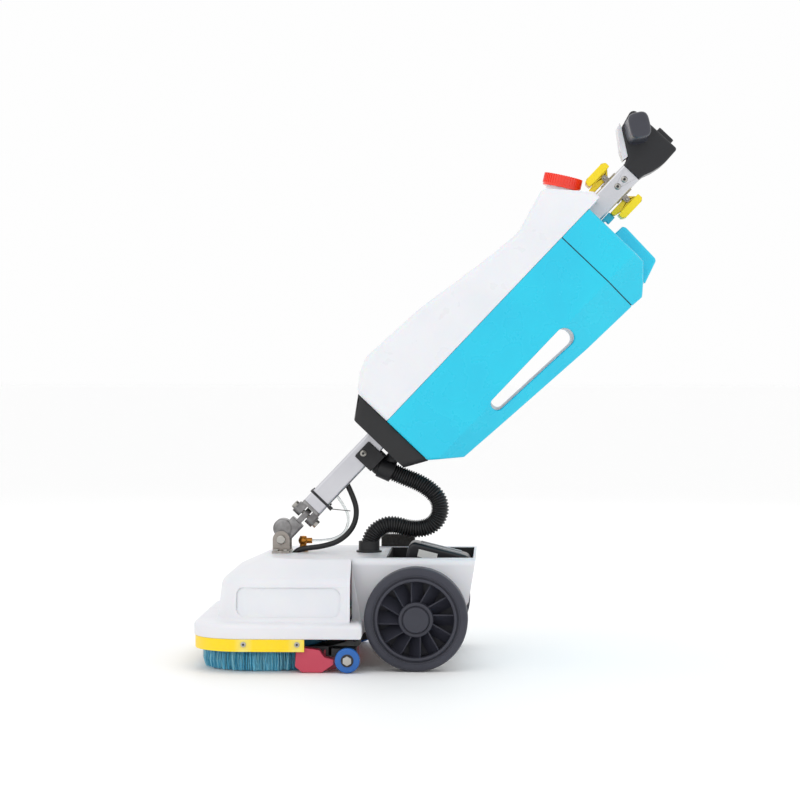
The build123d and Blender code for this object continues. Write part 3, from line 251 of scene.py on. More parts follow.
mastTurn = (0, math.atan2(mastUp.z, mastUp.x), 0)
finishLooks = {
    "deckSkin": {"color": "#E6E6EA", "shade": "#E1E2E7", "rough": (0.34, 0.46), "glow": 0.12,
                 "grainScale": 700, "grainDepth": 0.00005, "rippleDepth": 0.0006, "rippleScale": 22},
    "cleanTankSkin": {"color": "#E9E9ED", "shade": "#E3E5EA", "rough": (0.26, 0.38), "glow": 0.2,
                      "grainScale": 800, "grainDepth": 0.00004, "rippleDepth": 0.0007, "rippleScale": 18},
    "dirtyTankSkin": {"color": "#00C9E6", "shade": "#04C2E2", "rough": (0.22, 0.34), "coat": 0.25,
                      "grainScale": 800, "grainDepth": 0.00004, "rippleDepth": 0.0006, "rippleScale": 20},
    "capSkin": {"color": "#F93A20", "shade": "#EE3018", "rough": (0.22, 0.34), "coat": 0.3,
                "grainScale": 1000, "grainDepth": 0.00003},
    "latchSkin": {"color": "#FFE400", "shade": "#FADB00", "rough": (0.28, 0.4), "coat": 0.2,
                  "grainScale": 1000, "grainDepth": 0.00003},
    "bumperSkin": {"color": "#FFDC00", "shade": "#F8D200", "rough": (0.36, 0.5), "wear": "#D8C060",
                   "wearAmount": 0.5, "grainScale": 900, "grainDepth": 0.00005,
                   "patches": (-0.288 + axleX, -0.198 + axleX), "patchColor": "#F2E27A"},
    "blackMoulding": {"color": "#141416", "shade": "#19191C", "rough": (0.42, 0.58), "wear": "#3A3A3E",
                      "grainScale": 1400, "grainDepth": 0.00012, "grainStrength": 0.7},
    "headMoulding": {"color": "#121317", "shade": "#181920", "rough": (0.26, 0.4), "wear": "#3C3D44",
                     "wearAmount": 0.4, "grainScale": 1500, "grainDepth": 0.00006},
    "gripRubber": {"color": "#1A1A1C", "shade": "#202022", "rough": (0.6, 0.8), "sheen": 0.15,
                   "grainScale": 1600, "grainDepth": 0.0002, "grainStrength": 0.8},
    "paleTrim": {"color": "#B9BABF", "shade": "#ACADB3", "rough": (0.35, 0.5), "grainScale": 1200},
    "wheelMoulding": {"color": "#2D2E39", "shade": "#33343F", "rough": (0.42, 0.56), "wear": "#666773",
                      "wearAmount": 0.4, "grainScale": 1300, "grainDepth": 0.0001},
    "tyreRubber": {"color": "#2E2F3A", "shade": "#343540", "rough": (0.55, 0.72), "sheen": 0.1,
                   "grainScale": 1100, "grainDepth": 0.00016, "grainStrength": 0.6},
    "rollerMoulding": {"color": "#1263B4", "shade": "#0D58A6", "rough": (0.3, 0.42), "coat": 0.2,
                       "grainScale": 1200},
    "redRubber": {"color": "#C44359", "shade": "#B83B51", "rough": (0.42, 0.56), "wear": "#DE8895",
                  "wearAmount": 0.5, "grainScale": 900, "grainDepth": 0.0001},
    "bladeRubber": {"color": "#B54154", "shade": "#A9374A", "rough": (0.5, 0.62), "grainScale": 1000},
    "brushPlate": {"color": "#1F7FA8", "shade": "#1A759C", "rough": (0.4, 0.55), "grainScale": 1000},
    "zincSteel": {"color": "#C9C7C2", "shade": "#B4B2AD", "metallic": 1, "rough": (0.24, 0.42),
                  "wear": "#E8E6E0", "grainScale": 500, "grainDepth": 0.00003},
    "bracketSteel": {"color": "#A9A39D", "shade": "#989089", "metallic": 1, "rough": (0.34, 0.52),
                     "wear": "#DAD5CE", "grainScale": 300, "grainDepth": 0.00005,
                     "stretch": ((0, 0, 0), (1, 1, 14))},
    "screwSteel": {"color": "#BDBBB6", "shade": "#A5A29C", "metallic": 1, "rough": (0.22, 0.4),
                   "grainScale": 900, "grainDepth": 0.00003},
    "castAlloy": {"color": "#9B9A9A", "shade": "#7F7D7D", "metallic": 1, "rough": (0.38, 0.6),
                  "wear": "#DEDDDA", "mottleScale": 60, "grainScale": 420, "grainDepth": 0.00025,
                  "grainStrength": 0.8, "rippleScale": 120, "rippleDepth": 0.0005},
    "mastAlloy": {"color": "#D6D6DA", "shade": "#CBCBD0", "metallic": 1, "rough": (0.34, 0.48),
                  "grainScale": 420, "grainDepth": 0.00004, "stretch": (mastTurn, (0.03, 1, 1))},
    "brass": {"color": "#C98B3E", "shade": "#A9692A", "metallic": 1, "rough": (0.24, 0.42),
              "wear": "#EBC27E", "grainScale": 600, "grainDepth": 0.00004},
    "hoseRubber": {"color": "#131315", "shade": "#19191B", "rough": (0.3, 0.46), "wear": "#6A6A6D",
                   "wearAmount": 0.35, "grainScale": 1300, "grainDepth": 0.00008},
    "cableSheath": {"color": "#0F0F11", "shade": "#151517", "rough": (0.38, 0.52), "grainScale": 1400},
    "clearVinyl": {"color": "#E6E9E9", "shade": "#DDE2E2", "rough": (0.08, 0.16), "clear": 0.9, "ior": 1.4,
                   "grainScale": 900},
    "bristleFibre": {"color": "#22B0DC", "shade": "#129CCC", "rough": (0.24, 0.38), "mottleScale": 60,
                     "strand": "#A2E8F7", "grainScale": 600},
    "foam": {"color": "#35322F", "shade": "#23211F", "rough": (0.85, 1.0), "mottleScale": 260,
             "grainScale": 420, "grainDepth": 0.0012, "grainStrength": 1.0, "sheen": 0.3},
    "motorPaint": {"color": "#1C1C1E", "shade": "#242427", "rough": (0.35, 0.5), "wear": "#77777A",
                   "grainScale": 900},
    "circuitBoard": {"color": "#1E6B3A", "shade": "#17582F", "rough": (0.3, 0.5), "mottleScale": 160},
    "ductMoulding": {"color": "#3B3B3F", "shade": "#434348", "rough": (0.4, 0.55)},
    "slateSide": {"color": "#31323B", "shade": "#383943", "rough": (0.3, 0.44), "wear": "#6B6C76",
                  "wearAmount": 0.3, "grainScale": 1500, "grainDepth": 0.00006},
    "batteryPale": {"color": "#A8A9AC", "shade": "#9A9B9E", "rough": (0.4, 0.55), "grainScale": 1400,
                    "grainDepth": 0.0001},
    "labelPaper": {"color": "#E4E4E2", "shade": "#D9D9D6", "rough": (0.55, 0.7), "grainScale": 1800},
}
finish = {name: makeFinish(name, look) for name, look in finishLooks.items()}
print("materials made:", len(finish))

finishOfNode = {
    "deck_cover": "deckSkin", "chassis_plate": "bracketSteel", "brush_shroud": "blackMoulding",
    "bumper_strip": "bumperSkin", "deck_screws": "screwSteel", "axle_shaft": "zincSteel",
    "wheel_bushes": "paleTrim", "axle_caps": "wheelMoulding", "hinge_bracket": "bracketSteel",
    "hinge_pin": "screwSteel", "battery_dock": "blackMoulding", "brush_motors": "motorPaint",
    "control_board": "circuitBoard", "foam_pad": "foam", "hose_cuff": "blackMoulding",
    "suction_duct": "ductMoulding", "water_fitting": "brass", "spray_manifold": "ductMoulding",
    "battery_case": "headMoulding", "squeegee_frame": "blackMoulding", "squeegee_blades": "bladeRubber",
    "squeegee_end_blocks": "redRubber", "roller_bolts": "screwSteel", "yoke": "castAlloy",
    "swivel_pin": "screwSteel", "mast_foot": "castAlloy", "mast_tube": "mastAlloy",
    "mast_screws": "screwSteel", "tank_cradle": "blackMoulding", "hose_clamp": "blackMoulding",
    "hose_connector": "blackMoulding", "latch_brackets": "bracketSteel", "latch_front": "latchSkin",
    "latch_rear": "latchSkin", "recovery_tank": "dirtyTankSkin", "recovery_lid": "dirtyTankSkin",
    "lid_gasket": "gripRubber", "vacuum_motor": "motorPaint", "float_cage": "paleTrim",
    "solution_tank": "cleanTankSkin", "solution_cap": "capSkin", "head_cover": "deckSkin",
    "handle_grips": "gripRubber", "power_button": "headMoulding", "speed_button": "headMoulding",
    "suction_hose": "hoseRubber", "power_cable": "cableSheath", "water_tube": "clearVinyl",
}
for side in ("left", "right"):
    finishOfNode.update({
        "wheel_rim_" + side: "wheelMoulding", "wheel_tyre_" + side: "tyreRubber",
        "brush_disc_" + side: "brushPlate", "bristles_" + side: "brushPlate",
        "roller_" + side: "rollerMoulding", "head_shell_" + side: "headMoulding",
    })


def dress(piece, name):
    piece.data.materials.clear()
    piece.data.materials.append(finish[name])


for nodeName, finishName in finishOfNode.items():
    dress(nodes[nodeName], finishName)


def bodyOf(nodeName):
    bodies = frame["record"]["behaviour"]["bodies"]
    return next(body for body, members in bodies.items() if nodeName in members)


def addPiece(name, mesh, body, finishName, replaced=()):
    piece = bpy.data.objects.new(name, mesh)
    bpy.context.scene.collection.objects.link(piece)
    if finishName:
        dress(piece, finishName)
    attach(piece, body)
    if replaced:
        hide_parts(*replaced)
    return piece


def softCopy(nodeName, edge, segments=2, angle=32):
    # the node's own shape, welded, with its sharp edges rounded to catch the light
    mesh = nodes[nodeName].data.copy()
    form = bmesh.new()
    form.from_mesh(mesh)
    bmesh.ops.remove_doubles(form, verts=form.verts, dist=0.000002)
    for face in form.faces:
        face.smooth = True
    form.to_mesh(mesh)
    form.free()
    mesh.set_sharp_from_angle(angle=math.radians(angle))
    piece = addPiece(nodeName + "_soft", mesh, bodyOf(nodeName), finishOfNode[nodeName], [nodeName])
    if edge:
        bevel = piece.modifiers.new("edge", "BEVEL")
        bevel.width = edge
        bevel.segments = segments
        bevel.limit_method = "ANGLE"
        bevel.angle_limit = math.radians(angle)
        bevel.use_clamp_overlap = False
    weights = piece.modifiers.new("evenNormals", "WEIGHTED_NORMAL")
    weights.keep_sharp = not edge
    weights.weight = 100
    return piece


softEdges = {
    # node: radius in metres
    "deck_cover": 0, "brush_shroud": 0.0006, "bumper_strip": 0.0007, "hinge_bracket": 0.0005,
    "hinge_pin": 0.0004, "battery_dock": 0.0005, "hose_cuff": 0.0006, "water_fitting": 0.0003,
    "battery_case": 0.0008, "squeegee_frame": 0.0006, "squeegee_end_blocks": 0.0009,
    "roller_bolts": 0.0004, "yoke": 0.0009, "swivel_pin": 0.0004, "mast_foot": 0.0008,
    "mast_tube": 0.0003, "mast_screws": 0.0004, "tank_cradle": 0.0012, "hose_clamp": 0.0009,
    "hose_connector": 0.0006, "latch_brackets": 0.0003, "latch_front": 0.0009, "latch_rear": 0.0009,
    "recovery_tank": 0.0012, "recovery_lid": 0.0012, "solution_tank": 0.0012, "solution_cap": 0.0006,
    "head_cover": 0.0005, "head_shell_left": 0.0006, "head_shell_right": 0.0006,
    "power_button": 0.0004, "speed_button": 0.0003, "axle_caps": 0.0004,
    "roller_left": 0.0005, "roller_right": 0.0005, "deck_screws": 0.0004,
}
for nodeName, edge in softEdges.items():
    softCopy(nodeName, edge)
print("softened copies:", len(softEdges))


def sharpened(mesh, angle=35):
    # smooth faces, sharp only where the shape turns a real corner
    for face in mesh.polygons:
        face.use_smooth = True
    mesh.set_sharp_from_angle(angle=math.radians(angle))
    return mesh


def meshFrom(form, name, angle=35):
    bmesh.ops.recalc_face_normals(form, faces=form.faces)
    mesh = bpy.data.meshes.new(name)
    form.to_mesh(mesh)
    form.free()
    return sharpened(mesh, angle)


def joinLoops(form, lower, upper):
    for i in range(len(lower)):
        k = (i + 1) % len(lower)
        form.faces.new((lower[i], lower[k], upper[k], upper[i]))


def addTurned(form, outline, centre, side=1, segments=96):
    # a closed outline of (radius, along) turned about an axle along Y
    rings = []
    for radius, along in outline:
        ring = []
        for i in range(segments):
            turn = 2 * math.pi * i / segments
            ring.append(form.verts.new((centre[0] + radius * math.cos(turn), centre[1] + side * along,
                                        centre[2] + radius * math.sin(turn))))
        rings.append(ring)
    for ring, following in zip(rings, rings[1:] + rings[:1]):
        joinLoops(form, ring, following)


def addBlock(form, place, sizes, middle):
    # a box of the given sizes, centred on middle in the frame of place
    made = bmesh.ops.create_cube(form, size=1)["verts"]
    bmesh.ops.scale(form, vec=sizes, verts=made)
    bmesh.ops.translate(form, vec=middle, verts=made)
    bmesh.ops.transform(form, matrix=place, verts=made)


def bevelled(piece, width, segments=3, angle=30):
    bevel = piece.modifiers.new("edge", "BEVEL")
    bevel.width = width
    bevel.segments = segments
    bevel.limit_method = "ANGLE"
    bevel.angle_limit = math.radians(angle)
    weights = piece.modifiers.new("evenNormals", "WEIGHTED_NORMAL")
    weights.keep_sharp = False


# helpers for the Geometry Nodes trees
def newTree(name, sizes):
    # one named input for each size, of the kind that its value has
    tree = bpy.data.node_groups.new(name, "GeometryNodeTree")
    tree.interface.new_socket("Geometry", in_out="INPUT", socket_type="NodeSocketGeometry")
    for label, value in sizes.items():
        kind = "NodeSocketFloat"
        if isinstance(value, int):
            kind = "NodeSocketInt"
        if isinstance(value, bpy.types.Material):
            kind = "NodeSocketMaterial"
        if isinstance(value, bpy.types.Object):
            kind = "NodeSocketObject"
        tree.interface.new_socket(label, in_out="INPUT", socket_type=kind)
    tree.interface.new_socket("Geometry", in_out="OUTPUT", socket_type="NodeSocketGeometry")
    return tree, tree.nodes.new("NodeGroupInput").outputs


def addNode(tree, kind, inputs, **settings):
    made = tree.nodes.new(kind)
    for label, value in settings.items():
        setattr(made, label, value)
    for label, value in inputs.items():
        if isinstance(value, bpy.types.NodeSocket):
            tree.links.new(value, made.inputs[label])
        else:
            made.inputs[label].default_value = value
    return made


def reckon(tree, operation, first, second=0.0):
    return addNode(tree, "ShaderNodeMath", {0: first, 1: second}, operation=operation).outputs[0]


def times(tree, first, second):
    return reckon(tree, "MULTIPLY", first, second)


def vector(tree, x=0.0, y=0.0, z=0.0):
    return addNode(tree, "ShaderNodeCombineXYZ", {"X": x, "Y": y, "Z": z}).outputs[0]


def scaled(tree, arrow, size):
    return addNode(tree, "ShaderNodeVectorMath", {0: arrow, "Scale": size}, operation="SCALE").outputs[0]


def rotation(tree, x=0.0, y=0.0, z=0.0):
    return addNode(tree, "FunctionNodeEulerToRotation", {"Euler": vector(tree, x, y, z)}).outputs[0]


def ringStep(tree, count):
    # the turn of each copy, in order round a full circle
    index = tree.nodes.new("GeometryNodeInputIndex").outputs[0]
    return times(tree, index, reckon(tree, "DIVIDE", 2 * math.pi, count))


def copiesRound(tree, shape, count, turn):
    line = addNode(tree, "GeometryNodeMeshLine", {"Count": count, "Offset": (0, 0, 0)})
    return addNode(tree, "GeometryNodeInstanceOnPoints", {
        "Points": line.outputs[0], "Instance": shape, "Rotation": turn}).outputs[0]


def closeTree(tree, geometry, material):
    whole = addNode(tree, "GeometryNodeRealizeInstances", {"Geometry": geometry})
    dressed = addNode(tree, "GeometryNodeSetMaterial", {"Geometry": whole.outputs[0], "Material": material})
    leave = tree.nodes.new("NodeGroupOutput")
    tree.links.new(dressed.outputs[0], leave.inputs[0])
    return tree


def growMesh(carrier, tree, sizes, name):
    # runs the tree on the carrier and keeps what it makes as a plain mesh
    modifier = carrier.modifiers.new("grow", "NODES")
    modifier.node_group = tree
    for item in tree.interface.items_tree:
        if item.in_out == "INPUT" and item.name in sizes:
            modifier[item.identifier] = sizes[item.name]
    graph = bpy.context.evaluated_depsgraph_get()
    mesh = bpy.data.meshes.new_from_object(carrier.evaluated_get(graph), depsgraph=graph)
    mesh.name = name
    bpy.data.objects.remove(carrier)
    return mesh


def linked(name, data):
    thing = bpy.data.objects.new(name, data)
    bpy.context.scene.collection.objects.link(thing)
    return thing


def pointCarrier(name, points=((0, 0, 0),)):
    mesh = bpy.data.meshes.new(name)
    mesh.from_pydata(points, [], [])
    return linked(name, mesh)


# Hose, cable and water tube. Points in metres, x from above the wheel axle, from the mast to the deck.
lineMake = {
    "suction_hose": {
        "route": [(-0.0465, 0, 0.326), (-0.026, 0, 0.317), (-0.003, 0, 0.3085), (0.0178, 0, 0.296),
                  (0.0341, 0, 0.279), (0.0375, 0, 0.2555), (0.0265, 0, 0.235), (0.005, 0, 0.226),
                  (-0.019, 0, 0.2265), (-0.04, 0, 0.233), (-0.06, 0, 0.233), (-0.0795, 0, 0.2208),
                  (-0.0884, 0, 0.2018), (-0.0887, 0, 0.186)],
        "split": 3, "diameter": 0.0315, "ribDepth": 0.0028, "pitch": 0.0043, "step": 0.00054, "sides": 40,
        "finish": "hoseRubber", "bendStart": (-0.0885, 0, 0.196), "bendEnd": (0.02, 0, 0.266),
        "upperBendEnd": (-0.03, 0, 0.318), "stiffness": "stiff",
    },
    "power_cable": {
        "route": [(-0.1305, -0.008, 0.312), (-0.117, -0.008, 0.285), (-0.109, -0.008, 0.257),
                  (-0.116, -0.008, 0.228), (-0.139, -0.009, 0.205), (-0.169, -0.01, 0.1955),
                  (-0.2, -0.01, 0.192), (-0.215, -0.01, 0.189), (-0.222, -0.01, 0.18)],
        "split": 3, "diameter": 0.0095, "ribDepth": 0.0, "pitch": 0.01, "step": 0.0016, "sides": 20,
        "finish": "cableSheath", "bendStart": (-0.21, -0.01, 0.189), "bendEnd": (-0.136, -0.009, 0.207),
        "upperBendEnd": (-0.119, -0.008, 0.29), "stiffness": "medium",
    },
    "water_tube": {
        "route": [(-0.1487, 0.006, 0.2867), (-0.134, 0.006, 0.268), (-0.124, 0.006, 0.245),
                  (-0.13, 0.008, 0.22), (-0.149, 0.01, 0.2075), (-0.172, 0.011, 0.204),
                  (-0.19, 0.011, 0.204)],
        "split": 3, "diameter": 0.005, "ribDepth": 0.0, "pitch": 0.01, "step": 0.0014, "sides": 18,
        "finish": "clearVinyl", "bendStart": (-0.188, 0.011, 0.204), "bendEnd": (-0.146, 0.01, 0.21),
        "upperBendEnd": (-0.137, 0.006, 0.272), "stiffness": "medium",
    },
}
grooveShape = 1.7       # above 1, the ribs are rounder than the grooves between them


def lineInputs(make):
    return {"Diameter": make["diameter"], "Rib Depth": make["ribDepth"], "Pitch": make["pitch"],
            "Step": make["step"], "Sides": make["sides"], "Finish": finish[make["finish"]]}


def lineTree():
    tree, given = newTree("tubeAlongLine", lineInputs(lineMake["suction_hose"]))
    spaced = addNode(tree, "GeometryNodeResampleCurve", {
        "Curve": given["Geometry"], "Length": given["Step"]}, mode="LENGTH")
    along = tree.nodes.new("GeometryNodeSplineParameter").outputs["Length"]
    turn = times(tree, reckon(tree, "DIVIDE", along, given["Pitch"]), 2 * math.pi)
    wave = times(tree, reckon(tree, "SUBTRACT", 1.0, reckon(tree, "COSINE", turn)), 0.5)
    groove = times(tree, reckon(tree, "POWER", wave, grooveShape), given["Rib Depth"])
    radius = reckon(tree, "SUBTRACT", times(tree, given["Diameter"], 0.5), groove)
    ring = addNode(tree, "GeometryNodeCurvePrimitiveCircle", {"Resolution": given["Sides"], "Radius": 1.0})
    skin = addNode(tree, "GeometryNodeCurveToMesh", {
        "Curve": spaced.outputs[0], "Profile Curve": ring.outputs[0], "Scale": radius, "Fill Caps": True})
    smooth = addNode(tree, "GeometryNodeSetShadeSmooth", {"Geometry": skin.outputs[0]})
    return closeTree(tree, smooth.outputs[0], given["Finish"])


def routeCurve(name, points):
    data = bpy.data.curves.new(name, "CURVE")
    data.dimensions = "3D"
    spline = data.splines.new("NURBS")
    spline.points.add(len(points) - 1)
    for control, (x, y, z) in zip(spline.points, points):
        control.co = (x, y, z, 1)
    spline.order_u = 3
    spline.use_endpoint_u = True
    spline.resolution_u = 16
    return linked(name, data)


def lineLength(points):
    return sum((Vector(b) - Vector(a)).length for a, b in zip(points, points[1:]))


def makeLinePiece(name, tree, make, points):
    curve = routeCurve(name, points)
    bare = bpy.data.meshes.new_from_object(curve)
    path = [tuple(v.co) for v in bare.vertices]
    bpy.data.meshes.remove(bare)
    return linked(name, growMesh(curve, tree, lineInputs(make), name)), path


def fromAxle(point):
    return (point[0] + axleX, point[1], point[2])


def makeLine(nodeName, tree):
    # two meshes, upper and lower, that meet in the middle of a stretch
    make = lineMake[nodeName]
    split = make["split"]
    route = [fromAxle(point) for point in make["route"]]
    middle = tuple((a + b) / 2 for a, b in zip(route[split], route[split + 1]))
    upper, upperPath = makeLinePiece(nodeName + "_upper", tree, make, route[:split + 1] + [middle])
    lower, lowerPath = makeLinePiece(nodeName + "_lower", tree, make, [middle] + route[split + 1:])
    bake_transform(lower)
    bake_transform(upper)
    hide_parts(nodeName)
    print(nodeName, "lower", round(lineLength(lowerPath), 4), "upper", round(lineLength(upperPath), 4))


tubeTree = lineTree()
for nodeName in lineMake:
    makeLine(nodeName, tubeTree)
print("lines made:", len(lineMake))

# Brushes: tufts on a golden-angle spiral, each a few fine strands that bow outwards near the rim.
# Sizes in metres, under the names of the tree's inputs.
brushMake = {
    "Tufts": 700, "Strands": 15, "Inner": 0.047, "Outer": 0.0962, "Length": 0.0385, "Spread": 0.0031,
    "Thick": 0.001, "Flare": 0.0066, "Seed": 7,
}
strandShape = {
    "tip": 0.36, "root": 0.5,       # radii, as shares of the thickness
    "lean": 0.07,                   # most tilt, radians
    "turn": 6.2,                    # most turn about itself, radians
    "rimGrip": 4.0,                 # higher keeps the bow to the outermost strands
    "bowBack": 1.2, "bowSize": 2.8,  # how soon the bow comes back in, and its peak
    "lift": 0.0002,                 # above the floor
}


def brushSpots(tree, given, index):
    tuft = reckon(tree, "FLOOR", reckon(tree, "DIVIDE", index, given["Strands"]))
    turn = times(tree, tuft, math.pi * (3 - math.sqrt(5)))
    share = reckon(tree, "DIVIDE", reckon(tree, "ADD", tuft, 0.5), given["Tufts"])
    innerSquare = times(tree, given["Inner"], given["Inner"])
    outerSquare = times(tree, given["Outer"], given["Outer"])
    between = times(tree, reckon(tree, "SUBTRACT", outerSquare, innerSquare), share)
    radius = reckon(tree, "SQRT", reckon(tree, "ADD", innerSquare, between))
    place = vector(tree, times(tree, radius, reckon(tree, "COSINE", turn)),
                   times(tree, radius, reckon(tree, "SINE", turn)))
    scatter = addNode(tree, "FunctionNodeRandomValue", {
        "Min": (-1, -1, 0), "Max": (1, 1, 0.6), "ID": index, "Seed": given["Seed"]},
        data_type="FLOAT_VECTOR")
    shifted = scaled(tree, scatter.outputs[0], given["Spread"])
    where = addNode(tree, "ShaderNodeVectorMath", {0: place, 1: shifted}, operation="ADD")
    points = addNode(tree, "GeometryNodePoints", {
        "Count": times(tree, given["Tufts"], given["Strands"]), "Position": where.outputs[0]})
    shade = addNode(tree, "FunctionNodeRandomValue", {"ID": index, "Seed": 3}, data_type="FLOAT")
    return addNode(tree, "GeometryNodeStoreNamedAttribute", {
        "Geometry": points.outputs[0], "Name": "strand", "Value": shade.outputs[1]}, data_type="FLOAT",
        domain="POINT").outputs[0]


def bowOffset(tree, given):
    # the strands bow outwards, most near the rim and below the middle, and come back in at the floor
    position = tree.nodes.new("GeometryNodeInputPosition").outputs[0]
    parts = addNode(tree, "ShaderNodeSeparateXYZ", {"Vector": position}).outputs
    flat = vector(tree, parts["X"], parts["Y"])
    out = addNode(tree, "ShaderNodeVectorMath", {0: flat}, operation="NORMALIZE").outputs[0]
    reach = addNode(tree, "ShaderNodeVectorMath", {0: flat}, operation="LENGTH").outputs["Value"]
    high = reckon(tree, "DIVIDE", parts["Z"], given["Length"])
    down = reckon(tree, "MAXIMUM", 0.0, reckon(tree, "SUBTRACT", 1.0, high))
    rim = reckon(tree, "POWER", reckon(tree, "DIVIDE", reach, given["Outer"]), strandShape["rimGrip"])
    back = reckon(tree, "SUBTRACT", strandShape["bowBack"], down)
    bow = times(tree, times(tree, down, back), strandShape["bowSize"])
    return scaled(tree, out, times(tree, times(tree, bow, rim), given["Flare"]))


def brushTree():
    tree, given = newTree("brushTufts", {**brushMake, "Finish": finish["bristleFibre"]})
    index = tree.nodes.new("GeometryNodeInputIndex").outputs[0]
    spots = brushSpots(tree, given, index)
    fibre = addNode(tree, "GeometryNodeMeshCone", {
        "Vertices": 3, "Side Segments": 3, "Fill Segments": 1, "Depth": given["Length"],
        "Radius Bottom": times(tree, given["Thick"], strandShape["tip"]),
        "Radius Top": times(tree, given["Thick"], strandShape["root"])})
    lean = strandShape["lean"]
    tilt = addNode(tree, "FunctionNodeRandomValue", {
        "Min": (-lean, -lean, 0), "Max": (lean, lean, strandShape["turn"]), "ID": index, "Seed": 5},
        data_type="FLOAT_VECTOR")
    turned = addNode(tree, "FunctionNodeEulerToRotation", {"Euler": tilt.outputs[0]})
    grown = addNode(tree, "GeometryNodeInstanceOnPoints", {
        "Points": spots, "Instance": fibre.outputs[0], "Rotation": turned.outputs[0]})
    whole = addNode(tree, "GeometryNodeRealizeInstances", {"Geometry": grown.outputs[0]})
    bent = addNode(tree, "GeometryNodeSetPosition", {
        "Geometry": whole.outputs[0], "Offset": bowOffset(tree, given)})
    return closeTree(tree, bent.outputs[0], given["Finish"])


def makeBrush(side, tree):
    low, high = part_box("bristles_" + side)
    name = "bristleTufts_" + side
    mesh = growMesh(pointCarrier("brushSeed"), tree, {**brushMake, "Finish": finish["bristleFibre"]}, name)
    middle = ((low[0] + high[0]) / 2, (low[1] + high[1]) / 2, strandShape["lift"])
    mesh.transform(Matrix.Translation(middle))
    addPiece(name, mesh, "brush_" + side, None, ["bristles_" + side])


brushes = brushTree()
for side in ("left", "right"):
    makeBrush(side, brushes)
print("brush strands a side:", brushMake["Tufts"] * brushMake["Strands"])

# Wheels: radii from the axle and depths from the wheel's inner face, in metres.
wheelMake = {
    "blades": 12, "bladeThick": 0.003, "bladeChord": 0.027, "bladeBelly": 0.008, "bladeSink": 0.003,
    "bladeSlant": 44, "bladeDepth": 0.026, "hub": 0.0295, "hubRound": 0.003, "bore": 0.0121,
    "dish": 0.0235, "opening": 0.0640, "web": (0.005, 0.0075), "rimInset": 0.003, "rimLip": 0.0022,
    "tyreInner": 0.0726, "radius": 0.0875, "width": 0.045, "shoulder": 0.007, "tyreSeam": 0.0012,
}


def bladeInputs(side):
    make = wheelMake
    return {"Blades": make["blades"], "Thick": make["bladeThick"], "Chord": make["bladeChord"],
            "Belly": make["bladeBelly"], "Span": make["opening"] - make["hub"] + 2 * make["bladeSink"],
            "Middle": (make["opening"] + make["hub"]) / 2, "Slant": side * math.radians(make["bladeSlant"]),
            "Finish": finish["wheelMoulding"]}


def bladeTree():
    tree, given = newTree("wheelBlades", bladeInputs(1))
    blade = addNode(tree, "GeometryNodeMeshCube", {
        "Size": vector(tree, given["Thick"], given["Chord"], given["Span"]),
        "Vertices X": 2, "Vertices Y": 7, "Vertices Z": 5})
    position = tree.nodes.new("GeometryNodeInputPosition").outputs[0]
    parts = addNode(tree, "ShaderNodeSeparateXYZ", {"Vector": position})
    across = reckon(tree, "DIVIDE", parts.outputs["Y"], given["Chord"])
    belly = times(tree, times(tree, across, across), given["Belly"])
    bowed = addNode(tree, "GeometryNodeSetPosition", {
        "Geometry": blade.outputs[0], "Offset": vector(tree, belly)})
    stood = addNode(tree, "GeometryNodeTransform", {
        "Geometry": bowed.outputs[0], "Translation": vector(tree, 0.0, 0.0, given["Middle"]),
        "Rotation": rotation(tree, 0.0, 0.0, given["Slant"])})
    turn = rotation(tree, 0.0, ringStep(tree, given["Blades"]), 0.0)
    return closeTree(tree, copiesRound(tree, stood.outputs[0], given["Blades"], turn), given["Finish"])


def arc(middle, radius, start, end, steps):
    turns = [math.radians(start + (end - start) * i / steps) for i in range(steps + 1)]
    return [(middle[0] + radius * math.cos(t), middle[1] + radius * math.sin(t)) for t in turns]


def rimOutline():
    make = wheelMake
    width, opening, rim, lip = make["width"], make["opening"], make["tyreInner"], make["rimLip"]
    seat = width - make["tyreSeam"] * 3
    outline = [(opening, make["rimInset"])]
    outline += arc((opening + lip, width - 0.0016), lip, 180, 90, 4)
    outline += arc((rim - 0.0055, width - 0.0024), 0.003, 90, 0, 4)
    return outline + [(rim - lip, seat), (rim, seat), (rim, make["rimInset"])]


def hubOutline():
    make = wheelMake
    width, edge, bore = make["width"], make["hubRound"], make["bore"]
    outer = make["hub"] - edge
    outline = [(bore, 0.0)] + arc((outer, edge), edge, -90, 0, 4)
    outline += arc((outer, width - edge), edge, 0, 90, 5)
    return outline + [(make["dish"], width), (make["dish"] - 0.0003, width - 0.001), (bore, width - 0.001)]


def webOutline():
    make = wheelMake
    inner, outer = make["hub"] - 0.002, make["opening"] + 0.001
    low, high = make["web"]
    return [(inner, low), (outer, low), (outer, high), (inner, high)]


def tyreOutline():
    make = wheelMake
    radius, shoulder, width, seam = make["radius"], make["shoulder"], make["width"], make["tyreSeam"]
    rim, lip = make["tyreInner"], make["rimLip"]
    outline = [(rim, seam), (rim + lip, seam), (rim + 0.003, 0.0)]
    outline += arc((radius - shoulder, shoulder), shoulder, -90, 0, 7)
    outline += [(radius, width * 0.5)]
    outline += arc((radius - shoulder, width - shoulder), shoulder, 0, 90, 7)
    return outline + [(rim + 0.003, width), (rim + lip, width - seam), (rim, width - seam)]


